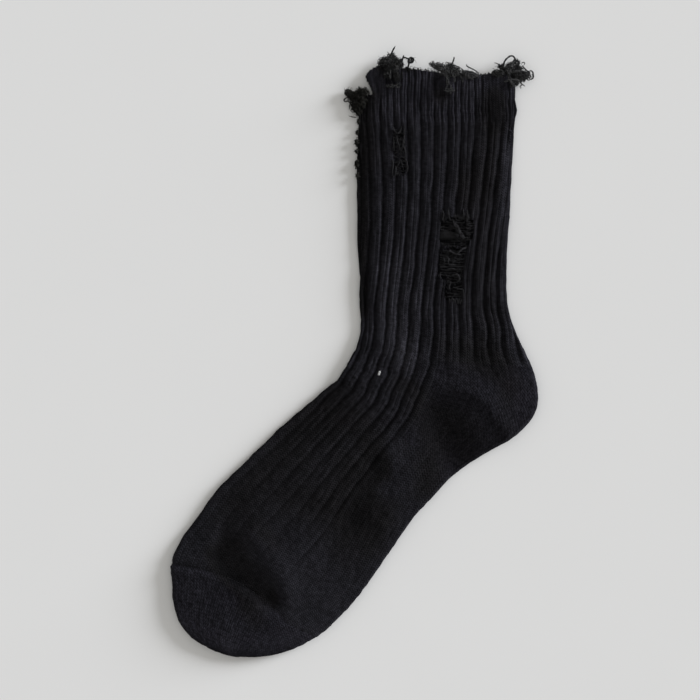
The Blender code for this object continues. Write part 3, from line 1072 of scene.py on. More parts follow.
@dataclass(frozen=True)
class YarnFinish:
    """Finish of loose yarn: soft, matt and a little paler than the knit, with a fibrous grain."""

    name: str
    dark: Colour
    light: Colour
    contrast: float = 0.4
    rarity: float = 1.6
    grain_depth: float = 0.16 * MM
    specular: float = 0.03
    sheen: float = 0.04
    sheen_roughness: float = 0.5

    def material(self) -> bpy.types.Material:
        """Material of this finish, read from object coordinates and each strand's own tone.

        Returns:
            The material.
        """
        material, shader, wiring = new_material(self.name)
        grain = wiring.grain().outputs
        rare = wiring.math("POWER", wiring.attribute("strand_tone"), self.rarity)
        own = wiring.product(rare, self.contrast)
        share = wiring.math("MULTIPLY_ADD", grain["Mottle"], 0.7 - 0.6 * self.contrast,
                            wiring.product(grain["Specks"], 0.4))
        wiring.feed(shader, {
            "Base Color": wiring.mix(wiring.math("ADD", share, own, clamp=True), self.dark, self.light),
            "Normal": wiring.bump(grain["Height"], self.grain_depth),
            "Roughness": wiring.spread(grain["Mottle"], 0.0, 1.0, 1.0, 0.9),
            "Specular IOR Level": self.specular,
            "Sheen Weight": self.sheen,
            "Sheen Roughness": self.sheen_roughness,
        })
        return material


class Yarn(Enum):
    """Finishes of the loose yarn."""

    FRAYED = YarnFinish("frayed_yarn", (0.0124, 0.0122, 0.0132), (0.0290, 0.0284, 0.0308))
    FLUFF = YarnFinish("tuft_yarn", (0.0054, 0.0054, 0.0058), (0.0700, 0.0700, 0.0712), 0.85)
    DEEP = YarnFinish("deep_yarn", (0.0030, 0.0030, 0.0033), (0.0860, 0.0860, 0.0872), 0.85, 3.0)
    DULL = YarnFinish("shin_yarn", (0.0040, 0.0039, 0.0034), (0.0300, 0.0292, 0.0262), 0.85)
    LINT = YarnFinish("pale_lint", (0.42, 0.42, 0.42), (0.66, 0.66, 0.65))

    @cache
    def material(self) -> bpy.types.Material:
        """The finish's material, made when it is first asked for."""
        return self.value.material()


# ---- knitted shells

COUNTED_AT = 0.4  # share of the width, from the front fold, where the courses are counted
WELD = 0.00001  # metres between points that close the tube's seam
CRISP = math.radians(62.0)  # angle past which an edge stays crisp


@dataclass
class KnitShell:
    """One knitted region of the tube as a thin shell with its ribs, creases and stitch map."""

    name: str
    slot: Slot
    node: str
    first: float
    last: float
    form: SockForm
    finish: bpy.types.Material
    wales_per_rib: int
    keep: Callable[[float, float], bool] = lambda place, wale: True
    course: float = 1.25 * MM
    wall: float = 1.0 * MM

    def build(self) -> Piece:
        """Build the shell, dress it and put it on the frame.

        Returns:
            The finished object.
        """
        places, wales = self.form.rows(self.first, self.last), self.form.wales()
        rings = [self.form.ring(place) for place in places]
        columns = len(wales)
        piece = self.grid(columns - 1, len(places) - 1)
        mesh = piece.data
        spots, grooves, tones_and_shade, ribbing = [], [], [], []
        for ring in rings:
            for wale in wales:
                spot, groove, _ = self.form.surface(ring, wale)
                spots.append(spot)
                grooves.append(groove)
                # painted shade and highlight, with tone: the strokes darken or lighten the colour at this
                # point
                tones_and_shade.append(1.0 + marked(SHADE_AND_TONE, spot))
                ribbing.append(min(sum(self.form.relief.amounts(ring.place, (wale - 1.0) % RIBS + 1.0)), 1.0))
        order = self.grid_order(mesh, columns - 1, len(places) - 1)
        mesh.vertices.foreach_set("co", [value for index in order for value in spots[index]])
        for label, values in (("groove", grooves), ("tone", tones_and_shade), ("ribbing", ribbing)):
            attribute = mesh.attributes.new(label, "FLOAT", "POINT")
            attribute.data.foreach_set("value", [values[index] for index in order])
        courses = self.course_counts(rings)
        uv_map = mesh.uv_layers.new(name="stitches")
        for loop in mesh.loops:
            row, column = divmod(order[loop.vertex_index], columns)
            uv_map.data[loop.index].uv = (self.wales_per_rib * wales[column] + 0.5, courses[row])
        self.cut_out(mesh, order, places, wales)
        self.thicken(piece)
        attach(piece, "root")
        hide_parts(self.node)
        self.declare(piece)
        LOG.info("%s: %d rows, %d faces", self.name, len(places), len(mesh.polygons))
        return piece

    def grid(self, columns: int, rows: int) -> Piece:
        """Add a plain grid that the shell's rows and columns are laid on.

        Args:
            columns: Faces across it.
            rows: Faces along it.

        Returns:
            The grid's object.
        """
        bpy.ops.object.select_all(action="DESELECT")
        bpy.ops.mesh.primitive_grid_add(x_subdivisions=columns, y_subdivisions=rows, size=2.0, calc_uvs=False)
        piece = bpy.context.object
        piece.name = self.name
        piece.data.name = self.name
        piece.data.materials.append(self.finish)
        return piece

    @staticmethod
    def grid_order(mesh: bpy.types.Mesh, columns: int, rows: int) -> list[int]:
        """For each vertex of a fresh grid, its index in the list of rows of points."""
        spots = [(vertex.co + Vector((1.0, 1.0, 0.0))) / 2.0 for vertex in mesh.vertices]
        return [round(spot.y * rows) * (columns + 1) + round(spot.x * columns) for spot in spots]

    def course_counts(self, rings: Sequence[Ring]) -> list[float]:
        """Courses counted from the shell's first ring to each of its rings.

        Args:
            rings: The shell's rings.

        Returns:
            The count at each ring.
        """
        counts = [0.0]
        for before, after in zip(rings, rings[1:]):
            start, end = (ring.front.lerp(ring.back, COUNTED_AT) for ring in (before, after))
            counts.append(counts[-1] + (end - start).length / self.course)
        return counts

    def cut_out(
        self, mesh: bpy.types.Mesh, order: list[int], places: list[float], wales: list[float],
    ) -> None:
        """Take out the faces that another shell covers and those inside a hole, and close the tube's seam.

        Args:
            mesh: The shell's mesh.
            order: For each vertex, its index in the list of rows.
            places: Place of each row.
            wales: Wale of each column.
        """
        work = bmesh.new()
        work.from_mesh(mesh)
        gone = []
        for face in work.faces:
            keys = [divmod(order[vertex.index], len(wales)) for vertex in face.verts]
            place = sum(places[row] for row, _ in keys) / len(keys)
            wale = sum(wales[column] for _, column in keys) / len(keys)
            middle = face.calc_center_median() / MM
            if not self.keep(place, wale) or self.in_hole(middle, (wale - 1.0) % RIBS + 1.0):
                gone.append(face)
        bmesh.ops.delete(work, geom=gone, context="FACES")
        bmesh.ops.remove_doubles(work, verts=work.verts, dist=WELD)
        bmesh.ops.recalc_face_normals(work, faces=work.faces)
        work.to_mesh(mesh)
        work.free()

    @staticmethod
    def in_hole(middle: Vector, wale: float) -> bool:
        """Whether a face is in a hole or the cut front corner, by its middle in millimetres and its wale."""
        holed = wale < RIBS / 2.0 and any(opening.holds(wale, middle.y) for opening in OPENINGS)
        return holed or inside_outline(NOTCH_OUTLINE, middle.x, middle.y)

    def thicken(self, piece: Piece) -> None:
        """Give the shell its wall and smooth shading with crisp cut edges.

        Args:
            piece: The shell.
        """
        outer = len(piece.data.vertices)
        wall = piece.modifiers.new("wall", "SOLIDIFY")
        wall.thickness = self.wall
        wall.offset = -1.0
        bpy.ops.object.modifier_apply(modifier=wall.name)
        for vertex in piece.data.vertices[outer:]:
            vertex.co.z = max(vertex.co.z, INNER_CLEARANCE)
        bpy.ops.object.shade_smooth_by_angle(angle=CRISP)

    def declare(self, piece: Piece) -> None:
        """Args:
            piece: The finished shell.
        """
        area = sum(face.area for face in piece.data.polygons) / 2.0
        rings = [self.form.ring(place) for place in self.form.rows(self.first, min(self.last, LAST_PLACE))]
        width = math.ceil(max(ring.around for ring in rings) / MM) * MM
        length = math.ceil(area / width / MM) * MM
        LOG.info("%s: sheet %.3f by %.3f m, %.5f square metres", self.name, width, length, area)


@dataclass
class Sock:
    """The five knitted shells."""

    form: SockForm = field(default_factory=SockForm)

    def build(self) -> list[Piece]:
        """Build the shells from the cuff down.

        Returns:
            The finished shells.
        """
        band_end, toe_seam = STATION["band end"], STATION["toe seam"]
        cuff = KnitFinish("cuff_knit", (0.0112, 0.0109, 0.0139), (0.0212, 0.0206, 0.0260),
                          groove_shade=0.72, streaks=0.60).material()
        rib = KnitFinish("rib_knit", (0.0100, 0.0098, 0.0120), (0.0175, 0.0170, 0.0210)).material()
        plain = KnitFinish("plain_knit", (0.0090, 0.0087, 0.0112), (0.0172, 0.0164, 0.0212),
                           stitch_depth=0.42 * MM, streaks=0.14, streak_length=0.5, speckle=0.42).material()
        heel_top, heel_end = STATION["heel top"], STATION["heel end"]

        def on_heel(place: float, wale: float) -> bool:
            """Whether a face is on the heel pouch."""
            return heel_top < place < heel_end and wale > FRONT_HIGH

        shells = (
            KnitShell("cuff_band", Slot.CUFF, "cuff", 0.0, band_end, self.form, cuff, 4),
            KnitShell("ribbed_leg", Slot.RIB, "leg", band_end, heel_top, self.form, rib, 3),
            KnitShell("heel_pouch", Slot.PLAIN, "heel", heel_top, heel_end, self.form, plain, 5, on_heel),
            KnitShell("ribbed_foot", Slot.RIB, "foot", heel_top, toe_seam, self.form, rib, 3,
                      lambda place, wale: not on_heel(place, wale)),
            KnitShell("toe_pouch", Slot.PLAIN, "toe", toe_seam, LAST_PLACE + TOE_CAP, self.form, plain, 4),
        )
        return [shell.build() for shell in shells]


# ---- loose yarn

STRAND_WELD = 0.000002  # metres between points of one strand that are merged
LOWEST = 0.35  # least height of a matted strand's middle, in millimetres
STEP = 0.45  # length of one step of a matted strand, in millimetres
BOUND = 0.75  # share of a mat's reach past which its strands are pulled back
PULL = 1.6  # how hard they are pulled back
CURL_CHANGE = 0.16  # how fast their curl changes from step to step
PLY_REACH = 0.26  # how far a ply winds from the middle, as a share of the strand's thickness
PLY_WIDTH = 0.62  # thickness of a ply, as a share of the strand's
PROBE_HEIGHT = 0.05  # metres above the floor from which the cloth is felt for
SEEDS = {"raw_edge_loops": 5, "fold_frays": 8, "ladder_yarn": 3, "tear_yarn": 9, "toe_seam": 17, "lint": 29}


@dataclass(frozen=True)
class Strand:
    """One length of loose yarn: its route in metres, its thickness in millimetres and how thin its ends are.

    The paleness moves its random tone, from 0 to 1: below 0 for darker yarn, above 0 for paler; some tufts
    use it for painted shade and highlight.
    """

    route: list[Vector]
    thickness: float
    end_share: float = 0.55
    paleness: float = 0.0
    taper: float = 0.18

    def width(self, share: float) -> float:
        """Half the thickness at a share of the length, in metres, tapered towards both ends."""
        near_end = min(min(share, 1.0 - share) / self.taper, 1.0)
        return self.thickness / 2.0 * MM * (self.end_share + (1.0 - self.end_share) * near_end)

    def walk(self, length: float, stops: int) -> Iterator[tuple[float, Vector, Vector, Vector]]:
        """Walk along the route in even steps.

        Args:
            length: A length of the route, in metres.
            stops: Steps to take over it.

        Yields:
            The run so far, the point there, and the directions sideways and up from the route.
        """
        runs = [0.0]
        for before, after in zip(self.route, self.route[1:]):
            runs.append(runs[-1] + (after - before).length)
        steps = max(stops, math.ceil(runs[-1] / length * stops))
        index = 0
        for step in range(steps + 1):
            run = runs[-1] * step / steps
            while index < len(runs) - 2 and runs[index + 1] < run:
                index += 1
            stretch = self.route[index + 1] - self.route[index]
            share = (run - runs[index]) / max(runs[index + 1] - runs[index], 1e-9)
            ahead = stretch.normalized()
            across = ahead.cross(UP)
            across = across.normalized() if across.length > 1e-6 else Vector((1.0, 0.0, 0.0))
            yield run, self.route[index] + stretch * share, across, across.cross(ahead)

    def plies(self, count: int, lay: float) -> list["Strand"]:
        """Twisted plies that make up this strand.

        Args:
            count: Number of plies.
            lay: Length of one full turn, in millimetres.

        Returns:
            One strand for each ply, wound round the route.
        """
        twisted = []
        reach = self.thickness * MM * PLY_REACH
        for ply in range(count):
            route = []
            for run, spot, across, over in self.walk(lay * MM, 6):
                angle = math.tau * (run / (lay * MM) + ply / count)
                route.append(spot + (across * math.cos(angle) + over * math.sin(angle)) * reach)
            twisted.append(replace(self, route=route, thickness=self.thickness * PLY_WIDTH))
        return twisted

    def crimped(self, wave: float, height: float, chance: random.Random) -> "Strand":
        """The same strand with the small waves that yarn keeps from its stitches.

        Args:
            wave: Length of one wave, in millimetres.
            height: Height of the waves.
            chance: Seeded source of random numbers.

        Returns:
            The crimped strand.
        """
        start, tilt = chance.uniform(0.0, math.tau), chance.uniform(0.0, math.pi)
        route = []
        for run, spot, across, over in self.walk(wave * MM, 4):
            angle = start + math.tau * run / (wave * MM)
            swing = height * MM * math.sin(angle) * (0.7 + 0.5 * math.sin(0.37 * angle))
            route.append(spot + (across * math.cos(tilt) + over * math.sin(tilt)) * swing)
        return replace(self, route=route)


@dataclass
class YarnWork:
    """A piece made of many strands of loose yarn."""

    name: str
    finish: Yarn
    strands: list[Strand]
    replaced: tuple[str, ...] = ()
    roundness: int = 1

    def build(self) -> Piece:
        """Sweep the strands as one curve object, make it a mesh and put it on the frame.

        Returns:
            The finished object.
        """
        curve = bpy.data.curves.new(self.name, "CURVE")
        curve.dimensions = "3D"
        curve.bevel_depth = 1.0
        curve.bevel_resolution = self.roundness
        curve.use_fill_caps = True
        for strand in self.strands:
            spline = curve.splines.new("POLY")
            spline.points.add(len(strand.route) - 1)
            for index, (point, spot) in enumerate(zip(spline.points, strand.route)):
                point.radius = strand.width(index / (len(strand.route) - 1))
                point.co = (spot.x, spot.y, max(spot.z, point.radius), 1.0)
        curve.materials.append(self.finish.material())
        piece = bpy.data.objects.new(self.name, curve)
        bpy.context.scene.collection.objects.link(piece)
        bpy.ops.object.select_all(action="DESELECT")
        piece.select_set(True)
        bpy.context.view_layer.objects.active = piece
        bpy.ops.object.convert(target="MESH")
        piece = bpy.context.object
        piece.name = self.name
        piece.data.name = self.name
        weld = bmesh.new()
        weld.from_mesh(piece.data)
        bmesh.ops.remove_doubles(weld, verts=weld.verts, dist=STRAND_WELD)
        self.tint(weld)
        weld.to_mesh(piece.data)
        weld.free()
        bpy.ops.object.shade_smooth()
        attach(piece, "root")
        if self.replaced:
            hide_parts(*self.replaced)
        LOG.info("%s: %d strands, %d faces", self.name, len(self.strands), len(piece.data.polygons))
        return piece

    def tint(self, work: bmesh.types.BMesh) -> None:
        """Store one tone for each strand, random about its paleness, which its finish reads.

        Args:
            work: Mesh of the swept strands, in their order.
        """
        tone = work.verts.layers.float.new("strand_tone")
        chance = random.Random(self.name)
        done: set[bmesh.types.BMVert] = set()
        strands = iter(self.strands)
        for start in work.verts:
            if start in done:
                continue
            paleness = next(strands, self.strands[-1]).paleness
            value = min(max(chance.random() + paleness, 0.0), 1.0)
            waiting = [start]
            done.add(start)
            while waiting:
                vertex = waiting.pop()
                vertex[tone] = value
                for edge in vertex.link_edges:
                    other = edge.other_vert(vertex)
                    if other not in done:
                        done.add(other)
                        waiting.append(other)


def cloth_height(pieces: Sequence[Piece], x: float, y: float) -> float:
    """Height of the cloth's upper face above the floor, in millimetres.

    Args:
        pieces: The finished shells.
        x: Place along X, in millimetres.
        y: Place along Y.

    Returns:
        The height, or 0 beside the cloth.
    """
    highest = 0.0
    for piece in pieces:
        work = bmesh.new()
        work.from_mesh(piece.data)
        hit = BVHTree.FromBMesh(work).ray_cast(Vector((x * MM, y * MM, PROBE_HEIGHT)), -UP)[0]
        work.free()
        if hit is not None:
            highest = max(highest, hit.z / MM)
    return highest


def random_vector(chance: random.Random, reach: float) -> Vector:
    """A vector with each part random from -reach to reach."""
    return Vector([chance.uniform(-reach, reach) for _ in range(3)])


@dataclass(frozen=True)
class Matting:
    """A matted blob of curled yarn inside an ellipsoid, in millimetres and degrees."""

    x: float
    y: float
    z: float
    reach_x: float
    reach_y: float
    reach_z: float
    turn: float
    strands: int
    thickness: float = 0.5
    length: float = 9.0
    paleness: float = 0.0

    def lay(self, chance: random.Random) -> list[Strand]:
        """Curled strands that wander inside the ellipsoid.

        Args:
            chance: Seeded source of random numbers.

        Returns:
            The strands.
        """
        turn = Matrix.Rotation(math.radians(self.turn), 3, "Z")
        middle = Vector((self.x, self.y, self.z))
        reach = Vector((self.reach_x, self.reach_y, self.reach_z))
        strands = []
        for _ in range(self.strands):
            spot = random_vector(chance, 0.8)
            heading = random_vector(chance, 1.0).normalized()
            curl = random_vector(chance, 1.0).normalized()
            bend = chance.uniform(0.35, 0.8)
            steps = round(self.length * chance.uniform(0.5, 1.3) / STEP)
            route = []
            for _ in range(max(steps, 5)):
                pull = -spot * max(0.0, spot.length - BOUND) * PULL
                heading = (heading + heading.cross(curl) * bend + pull).normalized()
                curl = (curl + Vector([chance.gauss(0.0, CURL_CHANGE) for _ in range(3)])).normalized()
                spot = spot + Vector((heading.x / reach.x, heading.y / reach.y, heading.z / reach.z)) * STEP
                placed = middle + turn @ (spot * reach)
                placed.z = max(placed.z, LOWEST)
                route.append(placed * MM)
            strands.append(Strand(route, self.thickness * chance.uniform(0.6, 1.25), 0.35, self.paleness))
        return strands


@dataclass(frozen=True)
class Bundle:
    """Thin strands that run side by side along one route, in millimetres, and fray out at its ends."""

    route: tuple[Point, ...]
    count: int
    spread: float
    thickness: float = 0.34
    paleness: float = 0.0

    def lay(self, chance: random.Random) -> list[Strand]:
        """The bundle's strands, each with its own wander and length.

        Args:
            chance: Seeded source of random numbers.

        Returns:
            The strands.
        """
        middle = smooth_route(self.route, 6)
        strands = []
        for _ in range(self.count):
            slow = [chance.uniform(0.0, math.tau) for _ in range(6)]
            first = chance.randint(0, len(middle) // 4)
            last = len(middle) - chance.randint(0, len(middle) // 4)
            route = []
            for index in range(first, last):
                sway = Vector([
                    math.sin(slow[axis] + 0.42 * index) + 0.5 * math.sin(slow[axis + 3] + 0.95 * index)
                    for axis in range(3)
                ])
                spot = middle[index] + sway * 0.66 * self.spread * MM
                spot.z = max(spot.z, 0.3 * MM)
                route.append(spot)
            width = self.thickness * chance.uniform(0.7, 1.2)
            strands.append(Strand(route, width, 0.4, self.paleness).crimped(1.5, 0.14, chance))
        return strands


def laid(rows: "Sequence[Matting | Bundle | Rungs | RibEnds | StrayHairs]",
         chance: random.Random) -> list[Strand]:
    """Strands of several rows of loose yarn, laid in order."""
    return [strand for row in rows for strand in row.lay(chance)]


def hair(base: Sequence[Point], thickness: float, chance: random.Random, stray: float = 0.35) -> Strand:
    """A fine stray hair through points in millimetres, a little crooked.

    Args:
        base: Points of the hair.
        thickness: Thickness in millimetres.
        chance: Seeded source of random numbers.
        stray: How far its points wander after the first, in millimetres.

    Returns:
        The hair.
    """
    crooked = [base[0]]
    for corner in base[1:]:
        crooked.append(tuple(value + chance.uniform(-stray, stray) for value in corner))
    return Strand(smooth_route(crooked, 4), thickness, 0.35)


@dataclass(frozen=True)
class Tuft:
    """A frayed tuft of the raw edge: matted yarn, frayed bundles and stray hairs."""

    name: str
    node: str
    finish: Yarn
    seed: int
    loose_hairs: int
    mats: tuple[Matting, ...]
    bundles: tuple[Bundle, ...]
    hair_routes: tuple[tuple[Point, ...], ...]

    def build(self) -> Piece:
        """Build the tuft.

        Returns:
            The finished object.
        """
        chance = random.Random(self.seed)
        strands = laid(self.mats + self.bundles, chance)
        for route in self.hair_routes:
            strands += [hair(route, 0.34, chance, 0.3), hair(route, 0.24, chance, 0.4)]
        for _ in range(self.loose_hairs):
            mat = chance.choice(self.mats)
            angle = chance.uniform(0.0, math.tau)
            start = (
                mat.x + 0.7 * mat.reach_x * math.cos(angle),
                mat.y + 0.7 * mat.reach_y * math.sin(angle),
                mat.z + chance.uniform(-0.5, 0.8) * mat.reach_z,
            )
            reach = chance.uniform(0.6, 2.2)
            end = (start[0] + reach * math.cos(angle), start[1] + reach * math.sin(angle),
                   max(0.4, start[2] + chance.uniform(-1.0, 1.2)))
            middle = tuple((one + other) / 2.0 for one, other in zip(start, end))
            strands.append(hair((start, middle, end), chance.uniform(0.10, 0.20), chance, 0.6))
        return YarnWork(self.name, self.finish, strands, (self.node,)).build()


